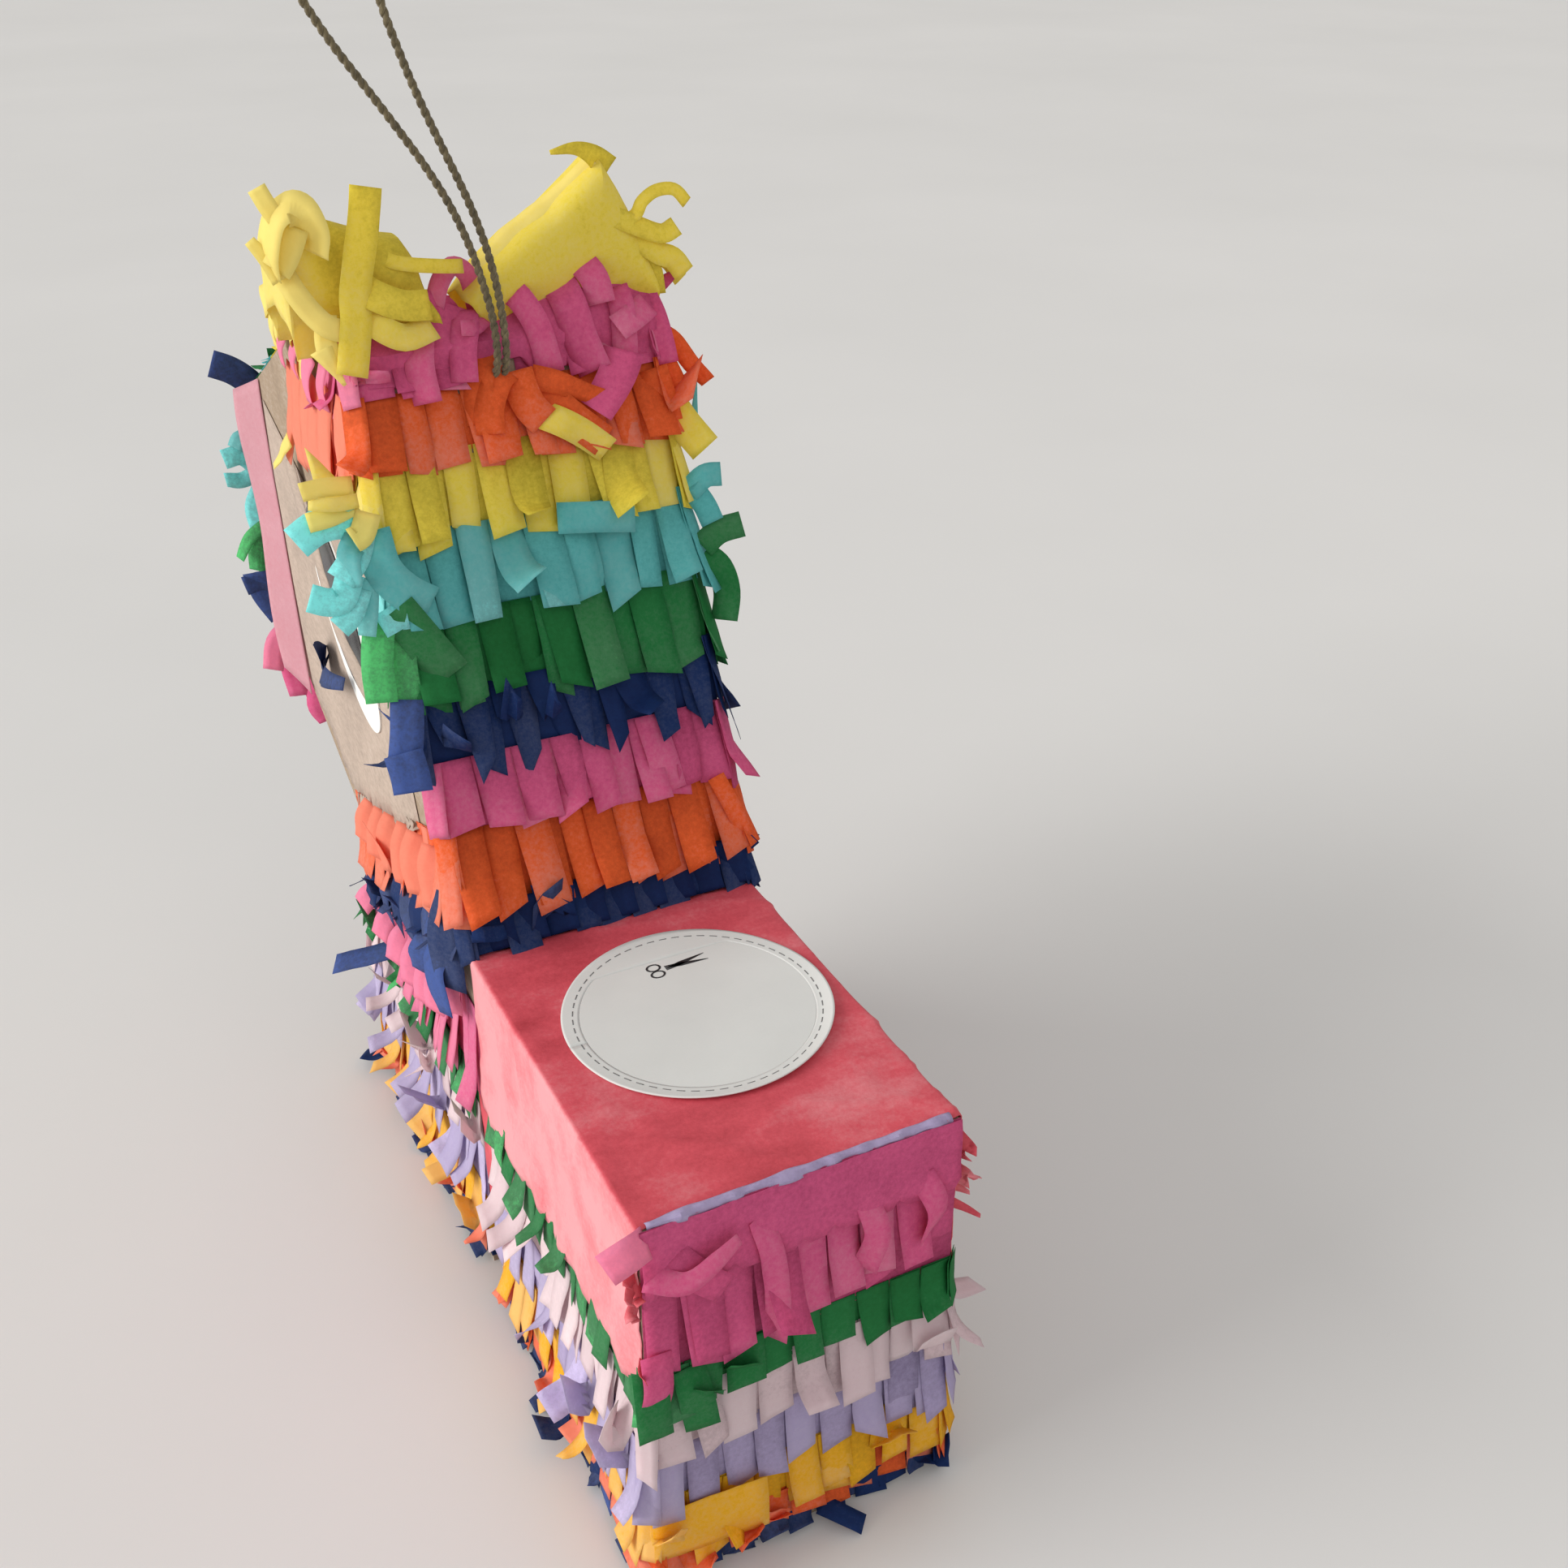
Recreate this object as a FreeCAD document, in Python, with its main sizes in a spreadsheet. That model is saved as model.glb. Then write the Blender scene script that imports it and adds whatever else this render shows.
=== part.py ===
"""Small card donkey pinata: a flat-sided card shell covered with rows of fringed tissue paper.

Millimetres. The donkey faces -Y, its left side is +X and it stands on z = 0, with the origin at the
middle of its footprint. A station is a distance along the body, measured back from the nose, so a
point at a station has y = station - body_length / 2. Tissue and paper are far thinner on the real
thing: here each is a closed solid of the space that it takes up.
"""
import FreeCAD, Part
import math
import os
import Sketcher
from FreeCAD import Placement, Rotation, Vector

doc = FreeCAD.newDocument("Pinata")

# ---------------------------------------------------------------- driving dimensions

DIMENSIONS = {
    # card shell
    "body_length": 282,
    "body_width": 76,
    "card": 2,
    "back_height": 112,
    "neck_foot_station": 178,
    "crown_rear_station": 125,
    "crown_front_station": 81,
    "crown_height": 246,
    "nose_top_height": 206,
    "nose_bottom_height": 128,
    "chest_station": 72,
    "chest_height": 96,
    "arch_front_station": 169,
    "arch_rear_station": 183,
    "arch_height": 26,
    "corner_trim": 4.7,
    "butt_trim": 2.4,
    # ears
    "ear_inner": 2,
    "ear_outer": 38,
    "right_ear_tip_across": 30,
    "right_ear_tip_rise": 36,
    "left_ear_tip_across": 36,
    "left_ear_tip_rise": 26,
    "ear_station": 113,
    "ear_depth": 10,
    # paper
    "paper": 0.5,
    "fringe_flare": 4.5,
    "fringe_root": 0.4,
    # saddle, label and the flap that is cut open to fill the pinata
    "saddle_drop": 46,
    "girth_station": 174,
    "girth_width": 8,
    "girth_channel": 1,
    "trim_width": 7,
    "label_across": -3,
    "label_station": 222.6,
    "label_radius": 32.2,
    "label_paper": 0.3,
    "cut_radius": 28.2,
    "cut_gap": 0.3,
    "hinge_reach": 22,
    # head side
    "strap_width": 13,
    "face_paper": 0.4,
    "eye_length": 70,
    "eye_height": 34,
    "pupil_length": 58,
    "pupil_height": 28,
    "eye_station": 86,
    "eye_centre_height": 166,
    "pupil_forward": 3.1,
    "pupil_raise": 4.2,
    "eye_tilt": 37,
    # hanging cord
    "cord_diameter": 2,
    "cord_hole_radius": 2.7,
    "cord_across": 3.5,
    "cord_along": 136,
    "knot_radius": 4,
    "knot_depth": 7,
    "knot_flat_depth": 4,
    "toggle_diameter": 2.5,
    "toggle_length": 28,
}

# Fringe rows from the ground up: colour, bottom and top. Leg rows go round each leg block.
LEG_ROWS = [("navy", 0, 5), ("orange", 5, 12), ("yellow", 12, 26)]
BODY_ROWS = [("lavender", 26, 43), ("white", 43, 59), ("green", 59, 66)]
PINK_ROW_BOTTOM = 66
SHOULDER_TOP = 94

# Neck rows: name, bottom and top along the neck's rear face from its foot, and how far the row
# turns forward round the neck's two corners.
NECK_ROWS = [
    ("neck_fringe_navy_low", -4, 9, 108),
    ("neck_fringe_orange_low", 9, 27.5, 104),
    ("neck_fringe_pink_low", 27.5, 43.5, 3),
    ("neck_fringe_navy", 43.5, 61, 12),
    ("neck_fringe_green", 61, 80, 16),
    ("neck_fringe_cyan", 80, 99.5, 24),
    ("neck_fringe_yellow", 99.5, 117, 24),
    ("neck_fringe_orange", 117, 131, 70),
    ("neck_fringe_pink", 131, 143, 70),
]
FOREHEAD_ROWS = 5
MUZZLE_ROWS = 5

# The hanging loop's route: out of the knot, up one strand, round the top and down the other.
CORD_ROUTE = [
    (4.65, -16.7, 237.0),
    (4.65, -12.4, 238.7),
    (4.6, -8.9, 241.9),
    (4.4, -7.7, 247.0),
    (4.1, -10.4, 254.5),
    (5.3, -12, 261.6),
    (7.5, -12, 269.9),
    (11.2, -12, 279.3),
    (16.1, -12, 288.2),
    (21.6, -12, 296.6),
    (27.6, -12, 305.4),
    (34.0, -12, 314.5),
    (39.8, -12, 324.5),
    (45.5, -12, 335.5),
    (48.6, -12, 347.5),
    (46.0, -12, 358.5),
    (36.5, -12, 362),
    (28.3, -12, 355),
    (25.4, -12, 343.5),
    (24.6, -12, 332.5),
    (22.8, -12, 322.3),
    (19.9, -12, 312.7),
    (16.5, -12, 302.7),
    (11.9, -12, 291.6),
    (7.7, -12, 281.8),
    (4.6, -12, 272.7),
    (2.7, -11.7, 264.5),
    (1.9, -10.2, 256),
    (2.2, -7.7, 247.6),
    (2.35, -8.9, 241.9),
    (2.35, -12.4, 238.7),
    (2.35, -16.7, 237.0),
]
ARC_SHARE = 0.45

sheet = doc.addObject("Spreadsheet::Sheet", "Dimensions")
for row, (alias, size) in enumerate(DIMENSIONS.items(), start=1):
    sheet.set(f"A{row}", alias)
    sheet.set(f"B{row}", str(size))
    sheet.setAlias(f"B{row}", alias)
doc.recompute()

nodes = []


# ---------------------------------------------------------------- helpers


def dim(text):
    """An expression in which each word is one of the sheet's aliases."""
    words = []
    for word in text.split():
        words.append("Dimensions." + word if word in DIMENSIONS else word)
    return " ".join(words)


def number(text):
    """The present value of such an expression."""
    result = sheet.evalExpression(dim(text))
    return float(getattr(result, "Value", result))


def bind(thing, **properties):
    """Binds properties to the sheet; Placement_Base_x stands for Placement.Base.x."""
    for name, text in properties.items():
        thing.setExpression(name.replace("_", "."), dim(text))


def keep(thing, label):
    """Marks an object as a piece of the pinata, to be written out under its label."""
    thing.Label = label
    nodes.append(thing)
    return thing


def place(thing, across="0", station="body_length / 2", height="0"):
    """Puts an object's own origin at a place on the pinata."""
    bind(
        thing,
        Placement_Base_x=across,
        Placement_Base_y=f"( {station} ) - body_length / 2",
        Placement_Base_z=height,
    )


def tilt(thing, angle):
    """Turns an object about X, so that its own Y axis rises at this angle from the ground."""
    thing.Placement = Placement(thing.Placement.Base, Rotation(Vector(1, 0, 0), 90))
    bind(thing, Placement_Rotation_Angle=angle)


def plane(body, role):
    return next(item for item in body.Origin.OriginFeatures if item.Role == role)


def new_sketch(body, role):
    sketch = body.newObject("Sketcher::SketchObject", "Outline")
    sketch.AttachmentSupport = (plane(body, role), [""])
    sketch.MapMode = "FlatFace"
    return sketch


def pin(sketch, edge, end, across, up):
    """Holds one end of an edge at a place measured from the sketch's origin."""
    for kind, axis, text in (("DistanceX", -2, across), ("DistanceY", -1, up)):
        if text == "0":
            sketch.addConstraint(Sketcher.Constraint("PointOnObject", edge, end, axis))
            continue
        limit = Sketcher.Constraint(kind, -1, 1, edge, end, number(text))
        index = sketch.addConstraint(limit)
        sketch.setExpression(f"Constraints[{index}]", dim(text))


def draw_polygon(sketch, corners):
    spots = [Vector(number(across), number(up), 0) for across, up in corners]
    count = len(spots)
    for index, spot in enumerate(spots):
        sketch.addGeometry(Part.LineSegment(spot, spots[(index + 1) % count]))
    for index, (across, up) in enumerate(corners):
        following = (index + 1) % count
        sketch.addConstraint(Sketcher.Constraint("Coincident", index, 2, following, 1))
        pin(sketch, index, 1, across, up)


def pad(body, sketch, length, both_ways=False):
    feature = body.newObject("PartDesign::Pad", "Pad")
    feature.Profile = sketch
    feature.Midplane = both_ways
    bind(feature, Length=length)
    return feature


def polygon_body(label, role, corners, length, both_ways=False):
    """A flat piece: a polygon on one of the body's own planes, made this thick."""
    body = doc.addObject("PartDesign::Body", label)
    sketch = new_sketch(body, role)
    draw_polygon(sketch, corners)
    pad(body, sketch, length, both_ways)
    return body


def box(name, length, width, height, across="0", station="body_length / 2", base="0"):
    """An upright box whose low corner is at this place."""
    block = doc.addObject("Part::Box", name)
    bind(block, Length=length, Width=width, Height=height)
    place(block, across, station, base)
    return block


def cut(label, base, tool):
    result = doc.addObject("Part::Cut", label)
    result.Base = base
    result.Tool = tool
    return result


def fuse(label, pieces):
    result = doc.addObject("Part::MultiFuse", label)
    result.Shapes = pieces
    return result


# ---------------------------------------------------------------- card shell

OUTLINE = [
    ("chest_station", "0"),
    ("arch_front_station", "0"),
    ("arch_front_station", "arch_height"),
    ("arch_rear_station", "arch_height"),
    ("arch_rear_station", "0"),
    ("body_length", "0"),
    ("body_length", "back_height"),
    ("neck_foot_station", "back_height"),
    ("crown_rear_station", "crown_height"),
    ("crown_front_station", "crown_height"),
    ("0", "nose_top_height"),
    ("0", "nose_bottom_height"),
    ("chest_station", "chest_height"),
]
INNER_WIDTH = "body_width - 2 * card"
INNER_EDGE = "card - body_width / 2"
NECK_RUN = "neck_foot_station - crown_rear_station"
NECK_RISE = "crown_height - back_height"
NECK_ANGLE = f"90 deg + atan( ( {NECK_RUN} ) / ( {NECK_RISE} ) )"
NECK_LENGTH = f"hypot( {NECK_RUN} ; {NECK_RISE} )"
FOREHEAD_RISE = "crown_height - nose_top_height"
FOREHEAD_ANGLE = f"atan( ( {FOREHEAD_RISE} ) / crown_front_station )"
FOREHEAD_LENGTH = f"hypot( crown_front_station ; {FOREHEAD_RISE} )"
JAW_DROP = "nose_bottom_height - chest_height"
JAW_ANGLE = f"atan( ( {JAW_DROP} ) / chest_station )"
JAW_LENGTH = f"hypot( chest_station ; {JAW_DROP} )"


def side_panels():
    places = (("side_panel_left", "body_width / 2 - card"), ("side_panel_right", "0 - body_width / 2"))
    for label, across in places:
        body = polygon_body(label, "YZ_Plane", OUTLINE, "card")
        place(body, across, "0")
        keep(body, label)


def upright_panels():
    """Panels that stand square to the ground, between the two side panels."""
    rump = box("rump_panel", INNER_WIDTH, "card", "back_height - card", INNER_EDGE, "body_length - card")
    chest = box("chest_panel", INNER_WIDTH, "card", "chest_height", INNER_EDGE, "chest_station")
    muzzle = box(
        "muzzle_panel",
        INNER_WIDTH,
        "card",
        "nose_top_height - nose_bottom_height",
        INNER_EDGE,
        "0",
        "nose_bottom_height",
    )
    front_sole = box(
        "front_hoof_panel",
        INNER_WIDTH,
        "arch_front_station - chest_station - 2 * card",
        "card",
        INNER_EDGE,
        "chest_station + card",
    )
    rear_sole = box(
        "rear_hoof_panel",
        INNER_WIDTH,
        "body_length - arch_rear_station - 2 * card",
        "card",
        INNER_EDGE,
        "arch_rear_station + card",
    )
    for piece in (rump, chest, muzzle, front_sole, rear_sole):
        keep(piece, piece.Name)


def arch_strip():
    """One strip folded to line the arch between the leg blocks."""
    corners = [
        ("arch_front_station - card", "0"),
        ("arch_front_station", "0"),
        ("arch_front_station", "arch_height"),
        ("arch_rear_station", "arch_height"),
        ("arch_rear_station", "0"),
        ("arch_rear_station + card", "0"),
        ("arch_rear_station + card", "arch_height + card"),
        ("arch_front_station - card", "arch_height + card"),
    ]
    body = polygon_body("arch_strip", "YZ_Plane", corners, INNER_WIDTH, both_ways=True)
    place(body, "0", "0")
    keep(body, "arch_strip")


def on_neck(along, depth):
    """Station and height of a place up the neck's rear face and this far in from it."""
    run, rise = f"( {NECK_RUN} ) / {NECK_LENGTH}", f"( {NECK_RISE} ) / {NECK_LENGTH}"
    return (
        f"neck_foot_station - ( {along} ) * {run} - ( {depth} ) * {rise}",
        f"back_height + ( {along} ) * {rise} - ( {depth} ) * {run}",
    )


def with_cord_hole(label, piece):
    """Cuts the cord's hole square through the neck's rear face."""
    over = 10
    drill = doc.addObject("Part::Cylinder", label + "_hole")
    bind(drill, Radius="cord_hole_radius", Height=str(2 * over))
    place(drill, "cord_across", *on_neck("cord_along", str(-over)))
    tilt(drill, NECK_ANGLE)
    return cut(label, piece, drill)


def leaning_panel(label, length, angle, station, height):
    """A panel that leans: it starts at this place and its own Y axis runs at this angle."""
    panel = box(label, INNER_WIDTH, length, "card", INNER_EDGE, station, height)
    tilt(panel, angle)
    return panel


def leaning_panels():
    neck = leaning_panel(
        "neck_rear_whole", f"{NECK_LENGTH} - butt_trim", NECK_ANGLE, "neck_foot_station", "back_height"
    )
    forehead = leaning_panel(
        "forehead_panel",
        f"{FOREHEAD_LENGTH} - corner_trim - butt_trim",
        f"180 deg + {FOREHEAD_ANGLE}",
        f"crown_front_station - corner_trim * cos( {FOREHEAD_ANGLE} )",
        f"crown_height - corner_trim * sin( {FOREHEAD_ANGLE} )",
    )
    jaw = leaning_panel(
        "jaw_panel",
        f"{JAW_LENGTH} - butt_trim",
        f"0 deg - {JAW_ANGLE}",
        f"butt_trim * cos( {JAW_ANGLE} )",
        f"nose_bottom_height - butt_trim * sin( {JAW_ANGLE} )",
    )
    for piece in (with_cord_hole("neck_rear_panel", neck), forehead, jaw):
        keep(piece, piece.Name)


def flat_rectangle(label, half_width, front, rear, thickness, height):
    """A level sheet, drawn on a body whose own origin is at the nose."""
    corners = [
        (f"0 - ( {half_width} )", front),
        (half_width, front),
        (half_width, rear),
        (f"0 - ( {half_width} )", rear),
    ]
    body = polygon_body(label, "XY_Plane", corners, thickness)
    place(body, "0", "0", height)
    return body


def crown_pieces():
    half = f"( {INNER_WIDTH} ) / 2"
    panel = flat_rectangle(
        "crown_panel", half, "crown_front_station", "crown_rear_station", "card", "crown_height - card"
    )
    keep(panel, "crown_panel")
    paper = flat_rectangle(
        "crown_paper_pink", "body_width / 2", "crown_front_station", "crown_rear_station", "paper",
        "crown_height",
    )
    keep(paper, "crown_paper_pink")


# ---------------------------------------------------------------- fill flap and label

LABEL_TOP = "back_height + paper + label_paper"
HINGE_STATION = "label_station - hinge_reach"


def draw_cut_line(sketch, radius, reach):
    """The line that is cut to open the flap: most of a circle, closed by a straight fold."""
    size, depth = number(radius), number(reach)
    centre = Vector(number("label_across"), number("label_station"), 0)
    half_arc = math.asin(depth / size)
    start, end = -half_arc, math.pi + half_arc
    sketch.addGeometry(Part.ArcOfCircle(Part.Circle(centre, Vector(0, 0, 1), size), start, end))
    ends = [centre + Vector(size * math.cos(turn), size * math.sin(turn), 0) for turn in (end, start)]
    sketch.addGeometry(Part.LineSegment(*ends))
    sketch.addConstraint(Sketcher.Constraint("Coincident", 0, 2, 1, 1))
    sketch.addConstraint(Sketcher.Constraint("Coincident", 0, 1, 1, 2))
    sketch.addConstraint(Sketcher.Constraint("Horizontal", 1))
    pin(sketch, 0, 3, "label_across", "label_station")
    index = sketch.addConstraint(Sketcher.Constraint("Radius", 0, size))
    sketch.setExpression(f"Constraints[{index}]", dim(radius))
    index = sketch.addConstraint(Sketcher.Constraint("DistanceY", 1, 1, 0, 3, depth))
    sketch.setExpression(f"Constraints[{index}]", dim(reach))


def cut_flap_opening(body):
    """Cuts the flap's outline up through a body whose own origin is at the nose."""
    sketch = new_sketch(body, "XY_Plane")
    draw_cut_line(sketch, "cut_radius", "hinge_reach")
    pocket = body.newObject("PartDesign::Pocket", "Opening")
    pocket.Profile = sketch
    pocket.Type = "ThroughAll"
    pocket.Midplane = True


def back_and_label():
    """The card back, and the ring of the label outside the line that is cut."""
    panel = flat_rectangle(
        "back_panel", f"( {INNER_WIDTH} ) / 2", "neck_foot_station", "body_length", "card",
        "back_height - card",
    )
    cut_flap_opening(panel)
    keep(panel, "back_panel")
    ring = doc.addObject("PartDesign::Body", "label_ring")
    sketch = new_sketch(ring, "XY_Plane")
    size = number("label_radius")
    centre = Vector(number("label_across"), number("label_station"), 0)
    sketch.addGeometry(Part.Circle(centre, Vector(0, 0, 1), size))
    index = sketch.addConstraint(Sketcher.Constraint("Radius", 0, size))
    sketch.setExpression(f"Constraints[{index}]", dim("label_radius"))
    pin(sketch, 0, 3, "label_across", "label_station")
    pad(ring, sketch, "label_paper")
    cut_flap_opening(ring)
    place(ring, "0", "0", "back_height + paper")
    keep(ring, "label_ring")


def flap_layer(label, thickness, height):
    """One layer of the flap, smaller than its hole by the width of the scissors' cut."""
    body = doc.addObject("PartDesign::Body", label)
    sketch = new_sketch(body, "XY_Plane")
    draw_cut_line(sketch, "cut_radius - cut_gap", "hinge_reach - cut_gap")
    pad(body, sketch, thickness)
    place(body, "0", "0", height)
    keep(body, label)


def fill_flap():
    flap_layer("fill_flap_card", "card", "back_height - card")
    flap_layer("fill_flap_paper", "paper", "back_height")
    flap_layer("fill_flap_label", "label_paper", "back_height + paper")


# ---------------------------------------------------------------- saddle


def saddle():
    """One sheet over the back and down both sides, its strap under the belly and an edge strip."""
    drape = ("paper", "body_length - neck_foot_station - 1", "saddle_drop + paper")
    low = "back_height - saddle_drop"
    start = "neck_foot_station + 1"
    top = flat_rectangle("saddle_top", "body_width / 2", start, "body_length", "paper", "back_height")
    cut_flap_opening(top)
    left = box("saddle_left", *drape, "body_width / 2", start, low)
    right = box("saddle_right", *drape, "0 - body_width / 2 - paper", start, low)
    keep(fuse("saddle_paper", [top, left, right]), "saddle_paper")

    reach = "back_height - saddle_drop - arch_height + paper"
    under = box(
        "girth_under", "body_width + 2 * paper", "girth_width", "paper",
        "0 - body_width / 2 - paper", "girth_station + girth_width", "arch_height - paper",
    )
    sides = [
        box(name, "paper", "girth_width", reach, across, "girth_station + girth_width", "arch_height - paper")
        for name, across in (("girth_left", "body_width / 2"), ("girth_right", "0 - body_width / 2 - paper"))
    ]
    for piece in [under, *sides]:
        piece.setExpression("Placement.Base.y", dim("girth_station - body_length / 2"))
    keep(fuse("girth_strap", [under, *sides]), "girth_strap")

    trim = box(
        "saddle_edge_trim", "body_width - 2 * card", "trim_width", "paper",
        INNER_EDGE, "body_length - trim_width", "back_height + paper",
    )
    keep(trim, "saddle_edge_trim")


# ---------------------------------------------------------------- fringe


def skirt(label, low, high, depth, station, height="0", angle="90 deg", open_front=False):
    """A tapered band of fringe round a block: thin at its glued top, standing off at its bottom.

    It is drawn with its own Y axis up the block and Z forward through it, then set in place. depth
    is how far forward the block or the band's wings reach, and open_front leaves the front bare.
    """
    wedge = doc.addObject("Part::Wedge", label + "_outside")
    flare, root = "fringe_flare", "fringe_root"
    front = (f"( {depth} )",) * 2 if open_front else (f"{depth} + {flare}", f"{depth} + {root}")
    bind(
        wedge,
        Xmin=f"0 - body_width / 2 - {flare}",
        Xmax=f"body_width / 2 + {flare}",
        X2min=f"0 - body_width / 2 - {root}",
        X2max=f"body_width / 2 + {root}",
        Ymin=str(low),
        Ymax=str(high),
        Zmin=f"0 - {flare}",
        Zmax=front[0],
        Z2min=f"0 - {root}",
        Z2max=front[1],
    )
    block = doc.addObject("Part::Box", label + "_inside")
    over = 10
    bind(
        block,
        Length="body_width",
        Width=str(high - low + 2 * over),
        Height=f"{depth} + {over if open_front else 0}",
        Placement_Base_x="0 - body_width / 2",
        Placement_Base_y=str(low - over),
    )
    band = cut(label, wedge, block)
    place(band, "0", station, height)
    tilt(band, angle)
    return band


def flat_block(name, across, along, depth, station, height="0", angle="90 deg", top_depth=None):
    """A block in a row's own frame, or a row on one face only where top_depth thins its top."""
    wedge = doc.addObject("Part::Wedge", name)
    top = top_depth or depth
    bind(
        wedge,
        Xmin=f"0 - ( {across} )", Xmax=across, X2min=f"0 - ( {across} )", X2max=across,
        Ymin=along[0], Ymax=along[1],
        Zmin=depth[0], Zmax=depth[1], Z2min=top[0], Z2max=top[1],
    )
    place(wedge, "0", station, height)
    tilt(wedge, angle)
    return wedge


def leg_rows():
    for colour, low, high in LEG_ROWS:
        front = skirt(
            f"front_fringe_{colour}", low, high, "arch_front_station - chest_station", "arch_front_station"
        )
        rear = skirt(f"rear_fringe_{colour}", low, high, "body_length - arch_rear_station", "body_length")
        keep(front, front.Name)
        keep(rear, rear.Name)


def half_row(label, low, high, end):
    """The front or rear half of a row round the body, parted where the girth strap runs down."""
    whole = skirt(label + "_round", low, high, "body_length - chest_station", "body_length")
    if end == "front":
        start = "girth_station - girth_channel"
    else:
        start = "girth_station + girth_width + girth_channel - 2 * body_length"
    margin = 20
    waste = box(
        label + "_waste", f"body_width + {2 * margin}", "2 * body_length", str(high - low + 2),
        f"0 - body_width / 2 - {margin}", start, str(low - 1),
    )
    return cut(label, whole, waste)


def body_rows():
    for colour, low, high in BODY_ROWS:
        for end in ("front", "rear"):
            label = f"{end}_fringe_{colour}"
            keep(half_row(label, low, high, end), label)
    rump = flat_block(
        "rear_fringe_pink", "body_width / 2", (str(PINK_ROW_BOTTOM), "back_height"),
        ("0 - fringe_flare", "0"), "body_length", top_depth=("0 - fringe_root", "0"),
    )
    keep(rump, "rear_fringe_pink")


def shoulder_row():
    """The pink row round the chest, cut off above where the slanting rows of the neck begin."""
    band = half_row("front_fringe_pink_round", PINK_ROW_BOTTOM, SHOULDER_TOP, "front")
    lowest = NECK_ROWS[0][1]
    reach = "2 * body_width"
    above = flat_block(
        "above_shoulder", "body_width", (str(lowest), "body_width"), (f"0 - {reach}", reach),
        "neck_foot_station", "back_height", NECK_ANGLE,
    )
    keep(cut("front_fringe_pink", band, above), "front_fringe_pink")


def neck_rows():
    for label, low, high, wrap in NECK_ROWS:
        band = skirt(
            label + "_band", low, high, str(wrap), "neck_foot_station", "back_height", NECK_ANGLE, True
        )
        if low < 0:
            clear = 0.5
            saddle_space = box(
                "saddle_space", "2 * body_width", "body_width", "back_height", "0 - body_width",
                "neck_foot_station", f"paper + {clear}",
            )
            band = cut(label, band, saddle_space)
        elif low < DIMENSIONS["cord_along"] < high:
            band = with_cord_hole(label, band)
        keep(band, label)


def stepped_fringe(label, rows, length, station, height, angle="0 deg"):
    """Several rows on one flat face, drawn as a saw-toothed profile and made as wide as the body."""
    corners = [("0", "0")]
    for row in range(rows):
        corners.append(("0 - fringe_flare", f"( {length} ) * {row} / {rows}"))
        corners.append(("0 - fringe_root", f"( {length} ) * {row + 1} / {rows}"))
    corners.append(("0", length))
    body = polygon_body(label, "YZ_Plane", corners, "body_width", both_ways=True)
    place(body, "0", station, height)
    tilt(body, angle)
    keep(body, label)


def head_rows():
    stepped_fringe(
        "muzzle_fringe", MUZZLE_ROWS, "nose_top_height - nose_bottom_height", "0", "nose_bottom_height"
    )
    stepped_fringe(
        "forehead_fringe", FOREHEAD_ROWS, FOREHEAD_LENGTH, "0", "nose_top_height",
        f"{FOREHEAD_ANGLE} - 90 deg",
    )


# ---------------------------------------------------------------- face, eyes and ears

FACE_OUTLINE = [
    (14.5, 122.5), (71.5, 100.6), (144, 129.5), (111.5, 210.2), (69, 193.8), (66, 192.8), (14.5, 206),
]


def face_papers():
    """Kraft paper on each side of the head, and the strip of tissue that binds the nose's edge."""
    face = [(str(station), str(height)) for station, height in FACE_OUTLINE]
    clear = 0.5
    strap = [
        (str(clear), f"nose_bottom_height - {clear}"),
        (
            "strap_width",
            f"nose_bottom_height - {clear} - strap_width * ( {JAW_DROP} ) / chest_station",
        ),
        (
            "strap_width",
            f"nose_top_height - {clear} + strap_width * ( {FOREHEAD_RISE} ) / crown_front_station",
        ),
        (str(clear), f"nose_top_height - {clear}"),
    ]
    for side, across in (("left", "body_width / 2"), ("right", "0 - body_width / 2 - face_paper")):
        for label, corners in ((f"face_paper_{side}", face), (f"bridle_strip_{side}", strap)):
            body = polygon_body(label, "YZ_Plane", corners, "face_paper")
            place(body, across, "0")
            keep(body, label)


def oval(name, length, height, layer, station, centre_height, side):
    """A slanting oval of paper on one side of the head; layer counts papers out from the card."""
    shape = doc.addObject("Part::Ellipse", name + "_outline")
    bind(shape, MajorRadius=f"( {length} ) / 2", MinorRadius=f"( {height} ) / 2")
    shape.Placement = Placement(Vector(), Rotation(Vector(0, 0, 1), 1))
    bind(shape, Placement_Rotation_Angle="0 deg - eye_tilt * 1 deg")
    disc = doc.addObject("Part::Extrusion", name)
    disc.Base = shape
    disc.DirMode = "Custom"
    disc.Dir = Vector(0, 0, 1)
    disc.Solid = True
    bind(disc, LengthFwd="face_paper")
    disc.Placement = Placement(Vector(), Rotation(Vector(1, 1, 1), 120))
    outward = f"body_width / 2 + {layer} * face_paper"
    place(disc, outward if side == "left" else f"0 - ( {outward} ) - face_paper", station, centre_height)
    return disc


def eyes():
    kinds = [
        ("eye_whites", "eye_length", "eye_height", 1, "eye_station", "eye_centre_height"),
        (
            "eye_pupils", "pupil_length", "pupil_height", 2,
            "eye_station - pupil_forward", "eye_centre_height + pupil_raise",
        ),
    ]
    for label, length, height, layer, station, centre_height in kinds:
        pair = doc.addObject("Part::Compound", label)
        pair.Links = [
            oval(f"{label}_{side}", length, height, layer, station, centre_height, side)
            for side in ("left", "right")
        ]
        keep(pair, label)


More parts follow.
